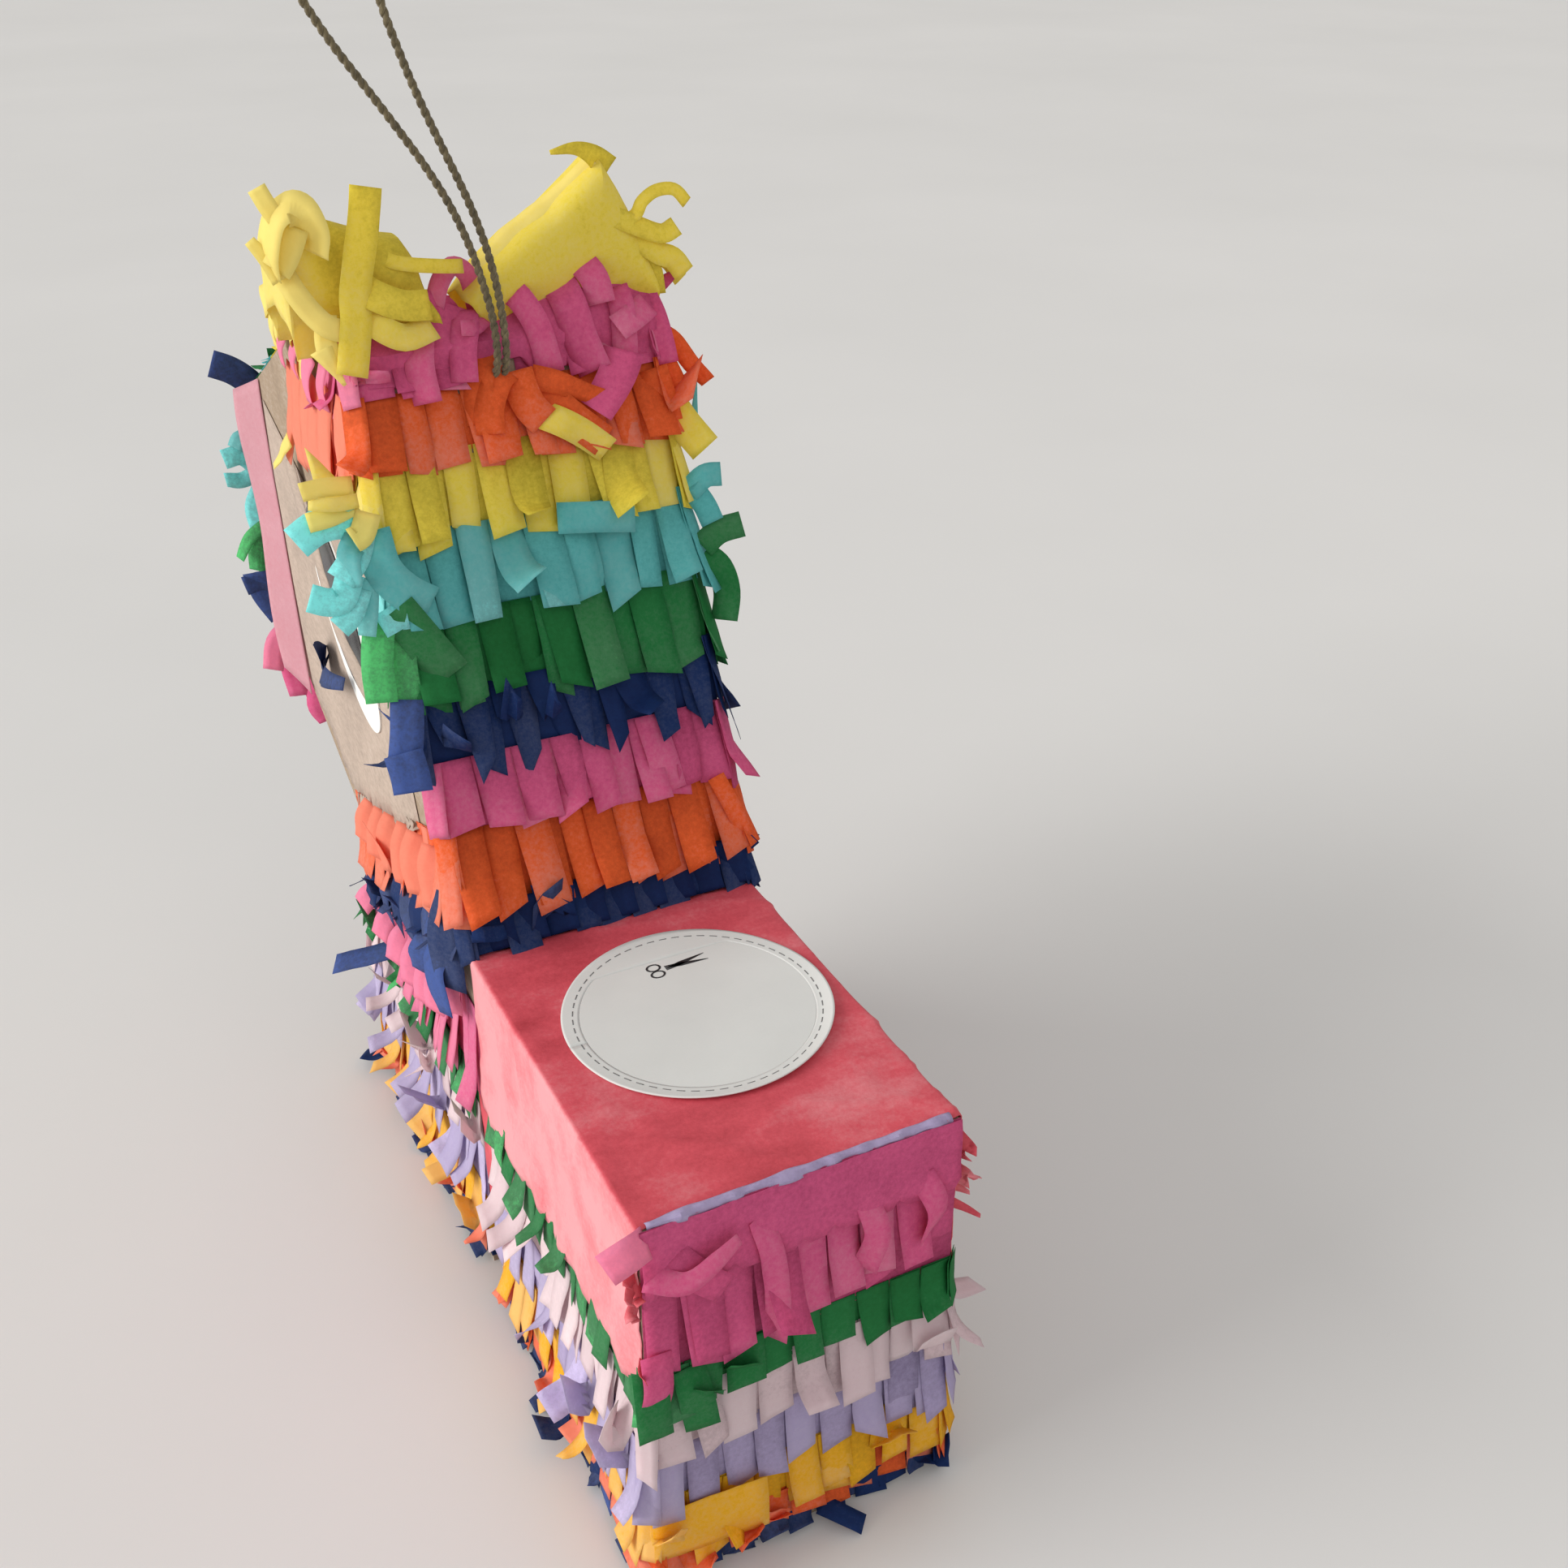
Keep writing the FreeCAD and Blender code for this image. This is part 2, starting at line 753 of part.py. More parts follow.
def ears():
    """A card triangle for each ear, wrapped in a fold of yellow tissue."""
    for side, turn in (("left", 0), ("right", 180)):
        across, rise = f"{side}_ear_tip_across", f"{side}_ear_tip_rise"
        card = [("ear_inner", "0"), ("ear_outer", "0"), (across, rise)]
        fold = [("ear_inner - 1", "0"), ("ear_outer + 1.5", "0"), (f"{across} + 0.5", f"{rise} + 2")]
        outlines = ((f"ear_card_{side}", card, "card"), (f"ear_fold_{side}", fold, "ear_depth"))
        pieces = []
        for label, corners, depth in outlines:
            body = polygon_body(label, "XZ_Plane", corners, depth, both_ways=True)
            body.Placement = Placement(Vector(), Rotation(Vector(0, 0, 1), turn))
            place(body, "0", "ear_station", "crown_height + paper")
            pieces.append(body)
        inner, outer = pieces
        keep(inner, f"ear_card_{side}")
        keep(cut(f"ear_paper_{side}", outer, inner), f"ear_paper_{side}")


# ---------------------------------------------------------------- hanging cord


def rounded_route(points):
    """Straight runs joined by tangent arcs, each as large as its two runs allow, and their radii."""
    spots = [Vector(*point) for point in points]
    edges, radii, start = [], [], spots[0]
    for before, corner, after in zip(spots, spots[1:], spots[2:]):
        back, ahead = (before - corner), (after - corner)
        reach = ARC_SHARE * min(back.Length, ahead.Length)
        half_turn = (math.pi - back.getAngle(ahead)) / 2
        back.normalize()
        ahead.normalize()
        radius = reach / math.tan(half_turn)
        leave, rejoin = corner + back * reach, corner + ahead * reach
        bisector = (back + ahead).normalize()
        middle = corner + bisector * (math.hypot(radius, reach) - radius)
        edges.append(Part.LineSegment(start, leave).toShape())
        edges.append(Part.Arc(leave, middle, rejoin).toShape())
        radii.append(radius)
        start = rejoin
    edges.append(Part.LineSegment(start, spots[-1]).toShape())
    return Part.Wire(edges), radii


def hanging_cord():
    path, radii = rounded_route(CORD_ROUTE)
    radius = number("cord_diameter") / 2
    start = Vector(*CORD_ROUTE[0])
    heading = Vector(*CORD_ROUTE[1]) - start
    section = Part.Wire(Part.Circle(start, heading, radius).toShape())
    cord = doc.addObject("Part::Feature", "hanging_cord")
    cord.Shape = path.makePipeShell([section], True, True)
    share = cord.Shape.Volume / (math.pi * radius**2 * path.Length)
    print("cord length", round(path.Length, 1), "volume over expected", round(share, 4))
    print("cord radii", [round(size, 1) for size in radii])
    keep(cord, "hanging_cord")


def cord_fixing():
    """The knot behind the neck's card, with a flat face that both strands leave, and its stick."""
    ball = doc.addObject("Part::Sphere", "knot_ball")
    bind(ball, Radius="knot_radius")
    place(ball, "cord_across", *on_neck("cord_along", "knot_depth"))
    side = "4 * knot_radius"
    flat = box(
        "knot_flat", side, side, "knot_radius", f"cord_across - {side} / 2",
        *on_neck(f"cord_along + {side} / 2", "knot_flat_depth"),
    )
    tilt(flat, f"{NECK_ANGLE} - 180 deg")
    stick = doc.addObject("Part::Cylinder", "cord_toggle")
    stick.Placement = Placement(Vector(), Rotation(Vector(0, 1, 0), 90))
    bind(stick, Radius="toggle_diameter / 2", Height="toggle_length")
    place(stick, "cord_across - toggle_length / 2", *on_neck("cord_along", "knot_depth"))
    keep(cut("cord_knot", cut("knot_trimmed", ball, flat), stick), "cord_knot")
    keep(stick, "cord_toggle")


# ---------------------------------------------------------------- build and write

side_panels()
upright_panels()
arch_strip()
leaning_panels()
crown_pieces()
back_and_label()
fill_flap()
saddle()
leg_rows()
body_rows()
shoulder_row()
neck_rows()
head_rows()
face_papers()
eyes()
ears()
hanging_cord()
cord_fixing()
doc.recompute()

for item in doc.Objects:
    if "Invalid" in item.State or "Error" in item.State:
        raise RuntimeError(f"{item.Label} failed: {item.State}")
for node in nodes:
    if node.Shape.isNull() or not node.Shape.isValid() or not node.Shape.Solids:
        raise RuntimeError(f"{node.Label} has no valid solid")

os.makedirs("parts", exist_ok=True)
for node in nodes:
    node.Shape.exportStep(f"parts/{node.Label}.step")
whole = Part.makeCompound([node.Shape for node in nodes]).BoundBox
print(len(nodes), "nodes; box", whole)
print(f"front flap axis: y {number(HINGE_STATION + ' - body_length / 2')}, z {number(LABEL_TOP)}")
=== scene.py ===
"""Looks of the small donkey pinata: fringed tissue, glued paper, label and hanging cord.

Sizes are millimetres where a name or comment says nothing else, and spot() turns them into the
frame's metres. The donkey faces -Y and its left side is +X. A station is a distance back from the
nose. Paper is built from ribbons: each one starts on the card and bends away as it goes.
"""

import math
import random

import bmesh
import bpy
from mathutils import Matrix, Vector, noise


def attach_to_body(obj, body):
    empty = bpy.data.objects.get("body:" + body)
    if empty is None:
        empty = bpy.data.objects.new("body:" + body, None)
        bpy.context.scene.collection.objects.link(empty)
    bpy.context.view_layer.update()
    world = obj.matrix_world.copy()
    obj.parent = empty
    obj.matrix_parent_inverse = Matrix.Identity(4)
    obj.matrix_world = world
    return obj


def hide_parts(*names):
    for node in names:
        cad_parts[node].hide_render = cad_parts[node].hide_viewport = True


MM = 0.001
HALF_LENGTH = 141
BODY_LENGTH = 2 * HALF_LENGTH
HALF_WIDTH = 38
BACK_HEIGHT = 112
CROWN_TOP = 247
FLOOR_GAP = 0.4
FRAME_SIDE = 1932
SHARP_FOLD = math.radians(26)

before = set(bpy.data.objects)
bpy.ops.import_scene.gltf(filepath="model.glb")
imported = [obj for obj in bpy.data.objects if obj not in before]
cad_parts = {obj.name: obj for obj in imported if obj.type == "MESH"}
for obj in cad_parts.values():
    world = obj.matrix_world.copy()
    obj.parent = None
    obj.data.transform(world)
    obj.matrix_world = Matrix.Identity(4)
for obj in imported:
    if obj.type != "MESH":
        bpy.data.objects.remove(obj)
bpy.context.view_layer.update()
scene = bpy.context.scene
rng = random.Random(20)


def spot(across, station, height):
    """A place on the pinata, from millimetres to metres."""
    return Vector((across, station - HALF_LENGTH, height)) * MM


def smooth(t):
    t = min(1.0, max(0.0, t))
    return t * t * (3 - 2 * t)


def link(thing):
    scene.collection.objects.link(thing)


def around(middle, spread):
    return middle + rng.uniform(-spread, spread)


# ---------------------------------------------------------------- camera, floor and light

CAMERA_PLACE = Vector((0.1277, 0.3734, 0.3624))
CAMERA_YAW, CAMERA_PITCH, CAMERA_ROLL = (math.radians(a) for a in (-27.68, 30.49, 0.49))
FOCAL_PIXELS = 2098.9
SENSOR_WIDTH = 36


def make_camera():
    yaw, pitch = CAMERA_YAW, CAMERA_PITCH
    ahead = Vector((math.sin(yaw) * math.cos(pitch), -math.cos(yaw) * math.cos(pitch), -math.sin(pitch)))
    right = ahead.cross(Vector((0, 0, 1))).normalized()
    roll = Matrix.Rotation(-CAMERA_ROLL, 3, ahead)
    right = roll @ right
    up = right.cross(ahead)
    data = bpy.data.cameras.new("camera")
    data.sensor_width = SENSOR_WIDTH
    data.lens = FOCAL_PIXELS / FRAME_SIDE * SENSOR_WIDTH
    data.clip_start = 0.01
    camera = bpy.data.objects.new("camera", data)
    turn = Matrix((right, up, -ahead)).transposed().to_4x4()
    camera.matrix_world = Matrix.Translation(CAMERA_PLACE) @ turn
    link(camera)
    scene.camera = camera


def area_light(name, place, target, size, power, colour):
    data = bpy.data.lights.new(name, "AREA")
    data.shape = "RECTANGLE"
    data.size, data.size_y = size
    data.energy = power
    data.color = colour
    light = bpy.data.objects.new(name, data)
    light.location = place
    light.rotation_euler = (Vector(target) - Vector(place)).to_track_quat("-Z", "Y").to_euler()
    link(light)


def make_lights():
    data = bpy.data.lights.new("window", "SUN")
    data.energy, data.angle, data.color = 2.7, 0.7, (1.0, 0.985, 0.96)
    window = bpy.data.objects.new("window", data)
    window.rotation_euler = Vector((3.0, -0.75, 1.05)).to_track_quat("Z", "Y").to_euler()
    link(window)
    area_light("fill", (0.3, 2.4, 1.9), (0, 0, 0.1), (2.2, 1.8), 12, (0.98, 0.98, 1.0))
    world = bpy.data.worlds.new("room")
    world.use_nodes = True
    sky = world.node_tree.nodes["Background"]
    sky.inputs["Color"].default_value = (0.9, 0.88, 0.86, 1)
    sky.inputs["Strength"].default_value = 0.61
    scene.world = world
    scene.view_settings.view_transform = "Standard"


# ---------------------------------------------------------------- materials


class Shader:
    """A material's node tree, with the few kinds of node that these surfaces are made from."""

    def __init__(self, name):
        self.material = bpy.data.materials.new(name)
        self.material.use_nodes = True
        self.tree = self.material.node_tree
        self.tree.nodes.clear()
        self.output = self.add("ShaderNodeOutputMaterial")
        self.surface = self.add("ShaderNodeBsdfPrincipled")
        self.join(self.surface.outputs["BSDF"], self.output.inputs["Surface"])
        self.place = self.add("ShaderNodeTexCoord").outputs["Object"]

    def add(self, kind):
        return self.tree.nodes.new(kind)

    def join(self, source, target):
        self.tree.links.new(source, target)

    def stretched(self, scale, turn=(0, 0, 0)):
        mapping = self.add("ShaderNodeMapping")
        mapping.inputs["Scale"].default_value = scale
        mapping.inputs["Rotation"].default_value = turn
        self.join(self.place, mapping.inputs["Vector"])
        return mapping.outputs["Vector"]

    def noise(self, scale, detail=3.0, roughness=0.55, at=None, kind="FBM"):
        node = self.add("ShaderNodeTexNoise")
        node.noise_type = kind
        node.inputs["Scale"].default_value = scale
        node.inputs["Detail"].default_value = detail
        node.inputs["Roughness"].default_value = roughness
        self.join(at or self.place, node.inputs["Vector"])
        return node.outputs["Fac"]

    def sums(self, *parts):
        """The sum of each source times its weight, plus a constant given as a bare number."""
        total = None
        for part in parts:
            node = self.add("ShaderNodeMath")
            node.operation = "MULTIPLY_ADD"
            if isinstance(part, (int, float)):
                node.inputs[0].default_value = part
                node.inputs[1].default_value = 1
            else:
                self.join(part[0], node.inputs[0])
                node.inputs[1].default_value = part[1]
            if total is None:
                node.inputs[2].default_value = 0
            else:
                self.join(total, node.inputs[2])
            total = node.outputs[0]
        return total

    def ramp(self, source, stops):
        node = self.add("ShaderNodeValToRGB")
        points = node.color_ramp.elements
        while len(points) < len(stops):
            points.new(0.5)
        for point, (where, colour) in zip(points, stops):
            point.position = where
            point.color = (*colour, 1)
        self.join(source, node.inputs["Fac"])
        return node.outputs["Color"]

    def colour(self, source):
        self.join(source, self.surface.inputs["Base Color"])

    def rough(self, source, low, high):
        node = self.add("ShaderNodeMapRange")
        node.inputs["To Min"].default_value = low
        node.inputs["To Max"].default_value = high
        self.join(source, node.inputs["Value"])
        self.join(node.outputs["Result"], self.surface.inputs["Roughness"])

    def bump(self, source, distance, strength):
        node = self.add("ShaderNodeBump")
        node.inputs["Distance"].default_value = distance * MM
        node.inputs["Strength"].default_value = strength
        self.join(source, node.inputs["Height"])
        self.join(node.outputs["Normal"], self.surface.inputs["Normal"])
        return node.outputs["Normal"]

    def tint(self):
        node = self.add("ShaderNodeAttribute")
        node.attribute_name = "tint"
        return node.outputs["Fac"]


LIGHT_THROUGH = 0.36


def blend_colour(a, b, share):
    return tuple(x + (y - x) * share for x, y in zip(a, b))


def deepened(colour, power):
    """A darker and richer version, as where tissue lies in several layers; it also stands for painted shade
    at the strips' roots.
    """
    top = max(colour)
    return tuple(top * 0.58 * (c / top) ** power for c in colour)


def tissue(name, colour):
    """Thin dyed tissue: mottled fibres, layers that read deeper, painted shade and painted light from the
    tint, and light that comes through.
    """
    shader = Shader(name)
    fibres = shader.noise(900, 6, 0.74)
    blotches = shader.noise(95, 3)
    depth = shader.sums((shader.tint(), 0.7), (fibres, 0.65), (blotches, 0.3), -0.36)
    # pale and lit stand for random paler fibres and also for painted light: strips on the lit left side get a
    # tint high enough to reach them, lit toward the window's warm white
    pale = blend_colour(colour, (1, 1, 1), 0.03 + 0.15 * max(colour))
    brightest = [c * min(2.6, 1 / max(colour)) for c in colour]
    lit = blend_colour(brightest, (1, 0.96, 0.9), 0.03 + 0.2 * max(colour))
    deep = deepened(colour, 1.3)
    shade = shader.ramp(depth, [(0.05, deep), (0.48, colour), (0.75, pale), (1.0, lit)])
    shader.colour(shade)
    crinkle = shader.sums((shader.noise(210, 3, 0.6), 1.0), (fibres, 0.3))
    normal = shader.bump(crinkle, 0.22, 0.5)
    shader.rough(fibres, 0.6, 0.85)
    shader.surface.inputs["Specular IOR Level"].default_value = 0.3
    through = shader.add("ShaderNodeBsdfTranslucent")
    shader.join(shade, through.inputs["Color"])
    shader.join(normal, through.inputs["Normal"])
    mix = shader.add("ShaderNodeMixShader")
    mix.inputs[0].default_value = LIGHT_THROUGH
    shader.join(shader.surface.outputs["BSDF"], mix.inputs[1])
    shader.join(through.outputs["BSDF"], mix.inputs[2])
    shader.join(mix.outputs[0], shader.output.inputs["Surface"])
    return shader.material


def glued_tissue(name, colour):
    """Coral tissue glued down flat: soft patches where glue dried pale, painted light where the tint is
    raised, and fine sharp wrinkles.
    """
    shader = Shader(name)
    streaks = shader.noise(55, 6, 0.6, shader.stretched((0.6, 1.3, 1.0), (0, 0, 0.5)))
    patches = shader.noise(24, 4, 0.6)
    fibres = shader.noise(800, 6, 0.75)
    # the tint pushes the saddle's left flap toward the pale stop: painted light on the lit side; pale also
    # stands for patches where glue dried pale
    depth = shader.sums((streaks, 0.75), (patches, 0.55), (fibres, 0.4), (shader.tint(), 0.3), -0.5)
    deep = deepened(colour, 1.25)
    pale = blend_colour(colour, (0.95, 0.62, 0.64), 0.42)
    shader.colour(shader.ramp(depth, [(0.15, deep), (0.5, colour), (0.9, pale)]))
    creases = shader.noise(95, 4, 0.55, shader.stretched((1, 1, 0.6)), "RIDGED_MULTIFRACTAL")
    shader.bump(shader.sums((creases, 0.45), (shader.noise(420, 3), 0.4)), 0.5, 0.75)
    shader.rough(patches, 0.45, 0.75)
    shader.surface.inputs["Specular IOR Level"].default_value = 0.35
    return shader.material


def kraft(name, colour, fleck=0.35):
    """Unbleached paper or card: long fibres, darker flecks and a dull, slightly uneven face."""
    shader = Shader(name)
    fibres = shader.noise(900, 6, 0.75, shader.stretched((1, 0.35, 1)))
    clouds = shader.noise(60, 3)
    depth = shader.sums((fibres, 0.8), (clouds, fleck), -0.1)
    dark = tuple(c * 0.62 for c in colour)
    pale = blend_colour(colour, (1, 1, 1), 0.25)
    shader.colour(shader.ramp(depth, [(0.2, dark), (0.55, colour), (0.9, pale)]))
    shader.bump(shader.sums((fibres, 0.6), (shader.noise(140, 2), 0.8)), 0.3, 0.5)
    shader.rough(clouds, 0.72, 0.9)
    return shader.material


def coated(name, colour, low, high):
    """Smooth coated paper: a faint tone change and a soft shine that its own waves break up."""
    shader = Shader(name)
    clouds = shader.noise(45, 4)
    grain = shader.noise(1400, 3)
    worn = tuple(0.94 * c for c in colour)
    shader.colour(shader.ramp(shader.sums((clouds, 0.8), (grain, 0.2)), [(0.3, worn), (0.65, colour)]))
    shader.bump(shader.sums((clouds, 1.0), (grain, 0.05)), 0.25, 0.35)
    shader.rough(grain, low, high)
    return shader.material


def twine_fibre(name):
    shader = Shader(name)
    fibres = shader.noise(1900, 4, 0.7, shader.stretched((1, 1, 0.3)))
    spots = shader.noise(330, 3)
    depth = shader.sums((fibres, 0.7), (spots, 0.5), -0.1)
    dark, middle, pale = (0.035, 0.028, 0.012), (0.16, 0.125, 0.06), (0.36, 0.3, 0.17)
    shader.colour(shader.ramp(depth, [(0.25, dark), (0.55, middle), (0.85, pale)]))
    shader.bump(fibres, 0.35, 0.9)
    shader.rough(spots, 0.6, 0.9)
    shader.surface.inputs["Sheen Weight"].default_value = 0.25
    return shader.material


def floor_material():
    shader = Shader("floor")
    clouds = shader.noise(3, 4)
    shader.colour(shader.ramp(clouds, [(0.3, (0.76, 0.757, 0.745)), (0.7, (0.79, 0.786, 0.775))]))
    shader.rough(clouds, 0.55, 0.7)
    return shader.material


TISSUES = {
    "pink": (0.84, 0.14, 0.34),
    "orange": (0.95, 0.165, 0.035),
    "yellow": (0.97, 0.82, 0.1),
    "amber": (0.97, 0.56, 0.02),
    "cyan": (0.15, 0.6, 0.6),
    "green": (0.02, 0.25, 0.065),
    "navy": (0.008, 0.036, 0.16),
    "lavender": (0.56, 0.48, 0.72),
    "pale_pink": (0.86, 0.7, 0.73),
    "dusty_pink": (0.78, 0.36, 0.43),
}
PAPER = {colour: tissue("tissue_" + colour, value) for colour, value in TISSUES.items()}
PAPER["coral"] = glued_tissue("tissue_coral", (0.67, 0.085, 0.115))
PAPER["kraft"] = kraft("kraft_paper", (0.47, 0.37, 0.3))
CARD = kraft("card", (0.34, 0.25, 0.17), 0.5)
LABEL = coated("label_paper", (0.74, 0.75, 0.73), 0.32, 0.5)
PRINT = coated("label_print", (0.03, 0.03, 0.032), 0.4, 0.6)
DASH_PRINT = coated("label_dash_print", (0.2, 0.2, 0.2), 0.4, 0.6)
EYE_WHITE = coated("eye_white", (0.88, 0.87, 0.83), 0.5, 0.65)
EYE_BLACK = coated("eye_black", (0.012, 0.011, 0.011), 0.16, 0.3)
TWINE = twine_fibre("twine")
STICK = kraft("stick", (0.5, 0.33, 0.17), 0.6)

# ---------------------------------------------------------------- paper sheets and ribbons


class Paper:
    """Collects the sheets and ribbons of one piece, then makes them one mesh."""

    def __init__(self):
        self.points, self.tints, self.faces = [], [], []

    def grid(self, lines, tint=0.5):
        """Joins lines of points, all the same number long, into one sheet. tint is one value, a
        value for each line, or what gives it from the share of the way along a line."""
        start, count = len(self.points), len(lines[0])
        for row, line in enumerate(lines):
            shade = tint[row] if isinstance(tint, list) else tint
            for index, point in enumerate(line):
                self.points.append(point)
                self.tints.append(shade(index / (count - 1)) if callable(shade) else shade)
        for row in range(len(lines) - 1):
            for column in range(count - 1):
                corner = start + row * count + column
                self.faces.append((corner, corner + 1, corner + count + 1, corner + count))

    def make(self, name, material, slot, replaces=(), body="shell", thickness=0.12):
        mesh = bpy.data.meshes.new(name)
        lowest = FLOOR_GAP * MM
        points = [(p[0], p[1], max(p[2], lowest + 0.15 * MM * (i % 5))) for i, p in enumerate(self.points)]
        mesh.from_pydata(points, [], self.faces)
        attribute = mesh.attributes.new("tint", "FLOAT", "POINT")
        attribute.data.foreach_set("value", self.tints)
        mesh.polygons.foreach_set("use_smooth", [True] * len(mesh.polygons))
        mesh.set_sharp_from_angle(angle=SHARP_FOLD)
        mesh.materials.append(material)
        piece = bpy.data.objects.new(name, mesh)
        link(piece)
        if thickness:
            shell = piece.modifiers.new("thickness", "SOLIDIFY")
            shell.thickness = thickness * MM
            shell.offset = 0
        return attach(piece, replaces, body)


def attach(piece, replaces=(), body="shell"):
    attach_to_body(piece, body)
    if replaces:
        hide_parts(*([replaces] if isinstance(replaces, str) else replaces))
    return piece


def crumple(point, size, amount, seed=0.0):
    """A smooth random offset from -amount to amount that changes over about size millimetres."""
    return noise.noise(point / (size * MM) + Vector((seed, 3.7 * seed, 1.3))) * amount * MM


def ribbon(
    paper, base, down, length, width, lift=0.12, bends=(), lean=0.0, twist=0.0, taper=0.95,
    slant=0.0, tint=0.5, steps=10, columns=4,
):
    """A strip of tissue. base(v) gives a point of its top edge and the way out there, v from -0.5
    to 0.5. Each bend is (where, angle, skew, softness): at that share of the length the strip turns
    outward by the angle, along a fold that runs askew across the strip, sharp or soft.
    """
    seed = rng.uniform(0, 50)
    lines = []
    for column in range(columns):
        v = column / (columns - 1) - 0.5
        point, out = base(v)
        side = out.cross(down)
        run = down * math.cos(lean) + side * math.sin(lean)
        across = side * math.cos(lean) - down * math.sin(lean)
        rng.random()  # an unused draw, which keeps the draws after it as they are
        reach = length * (1 + slant * v) * MM / steps
        line = [point.copy()]
        for step in range(steps):
            t = (step + 0.5) / steps
            angle = lift * min(1, 4 * t)
            for where, turn, skew, soft in bends:
                angle += turn * smooth((t - where - skew * v) / soft)
            point = point + (run * math.cos(angle) + out * math.sin(angle)) * reach
            end = (step + 1) / steps
            spin = twist * end * end
            sway = v * width * MM
            shift = across * sway * (1 + (taper - 1) * end) * math.cos(spin) - across * sway
            facing = out * math.cos(angle) - run * math.sin(angle)
            shift += facing * (sway * math.sin(spin) + crumple(point, 5, 0.25 * min(1, 3 * end), seed))
            line.append(point + shift)
        lines.append(line)
    # the tint rises from root to tip: deeper where strips lie in layers at the root, which is partly painted
    # shade
    base_tint = tint
    paper.grid(lines, lambda t: base_tint + 0.2 * (t - 0.5))


def flat_base(point, down, out, width):
    """The top edge of a free ribbon, and its frame made square."""
    down = down.normalized()
    out = (out - down * out.dot(down)).normalized()
    side = out.cross(down)
    return lambda v: (point + side * v * width * MM, out)


def free_ribbon(paper, place, down, out, length, width, **look):
    """A ribbon that starts anywhere: place in millimetres, with the way it runs and its face."""
    point, down, out = spot(*place), Vector(down).normalized(), Vector(out)
    ribbon(paper, flat_base(point, down, out, width), down, length, width, **look)


def curve_through(points, steps):
    """Even points along a smooth line through the given ones."""
    ends = [points[0] * 2 - points[1], *points, points[-1] * 2 - points[-2]]
    line = []
    for a, b, c, d in zip(ends, ends[1:], ends[2:], ends[3:]):
        for i in range(steps):
            t = i / steps
            bend = (a * 2 - b * 5 + c * 4 - d) * t * t
            line.append((b * 2 + (c - a) * t + bend + (b * 3 - c * 3 + d - a) * t ** 3) / 2)
    return line + [points[-1]]


def strip(
    paper, places, width, tint, taper=1.0, roll=0.0, face=(0.35, 0.85, 0.4), steps=5, columns=4,
):
    """A loose strip of tissue along a smooth line through places, turned to face one way."""
    centres = curve_through([spot(*place) for place in places], steps)
    face, last, seed = Vector(face), len(centres) - 1, rng.uniform(0, 50)
    lines = []
    for column in range(columns):
        v = column / (columns - 1) - 0.5
        line = []
        for i, centre in enumerate(centres):
            t = i / last
            ahead = (centres[min(i + 1, last)] - centres[max(i - 1, 0)]).normalized()
            out = (face - ahead * face.dot(ahead)).normalized()
            across = out.cross(ahead) * math.cos(roll * (t - 0.3)) + out * math.sin(roll * (t - 0.3))
            point = centre + across * v * width * (1 + (taper - 1) * t) * MM
            line.append(point + out * crumple(point, 6, 0.5, seed))
        lines.append(line)
    paper.grid(lines, lambda t: tint + 0.12 * (t - 0.5))


def loose(paper, name):
    """Adds the strips that stand out by themselves from one piece, with painted light on the left side: their
    tint is raised so they read paler there.
    """
    for places, width, tint, *rest in LOOSE_STRIPS.get(name, ()):
        on_left_side = sum(place[0] for place in places) / len(places) > HALF_WIDTH + 0.5
        # painted light: strips on the left side get a higher tint, paler where the window lights that side
        strip(paper, places, width, tint + (0.5 if on_left_side else 0), **(rest[0] if rest else {}))


CORNER_ROUND = 1.6


class Route:
    """The line along which a row is glued, in metres, and the way out from the card beside it."""

    def __init__(self, corners, up):
        self.up = up
        self.legs, self.length = [], 0.0
        for a, b in zip(corners, corners[1:]):
            size = (b - a).length
            self.legs.append((self.length, size, a, (b - a) / size))
            self.length += size

    def at(self, u):
        u = min(max(u, 0.0), self.length - 1e-9)
        index = max(i for i, leg in enumerate(self.legs) if leg[0] <= u)
        start, size, a, tangent = self.legs[index]
        out = tangent.cross(self.up)
        along = u - start
        reach = CORNER_ROUND * MM
        for near, other in ((along < reach, index - 1), (size - along < reach, index + 1)):
            if near and 0 <= other < len(self.legs):
                gap = along if other < index else size - along
                share = 0.5 * (1 - gap / reach)
                out = (out * (1 - share) + self.legs[other][3].cross(self.up) * share).normalized()
        return a + tangent * along, out


def folded_up():
    """Bends of a strip whose end is folded back up, along a fold that is often askew."""
    return [(rng.uniform(0.4, 0.65), rng.uniform(1.8, 2.7), rng.uniform(-0.3, 0.3), rng.uniform(0.06, 0.14))]


def curled():
    return [(rng.uniform(0.3, 0.55), rng.uniform(0.5, 1.3), rng.uniform(-0.2, 0.2), rng.uniform(0.35, 0.5))]


def strip_look(wild, torn):
    """Random bends and lean of one strip; wild is the share that is folded, curled or askew."""
    look = {
        "lean": rng.gauss(0, 0.04),
        "twist": rng.gauss(0, 0.1),
        "lift": rng.uniform(0.04, 0.16),
        "slant": rng.gauss(0, 0.07),
        "tint": min(0.85, max(0.15, rng.gauss(0.5, 0.16))),
        "taper": rng.uniform(0.9, 1.0),
        "bends": [(rng.uniform(0.4, 0.7), rng.gauss(0.05, 0.12), rng.gauss(0, 0.15), 0.12)],
    }
    if torn:
        look["taper"] = rng.uniform(0.25, 0.7)
        look["slant"] = rng.gauss(0, 0.35)
    if rng.random() < wild:
        look["lean"] = rng.gauss(0, 0.2)
        look["twist"] = rng.gauss(0, 0.5)
        look["lift"] = rng.uniform(0.1, 0.35)
        look["bends"] = rng.choice((folded_up, curled, curled))()
    return look


BAND_OFFSET = 0.35


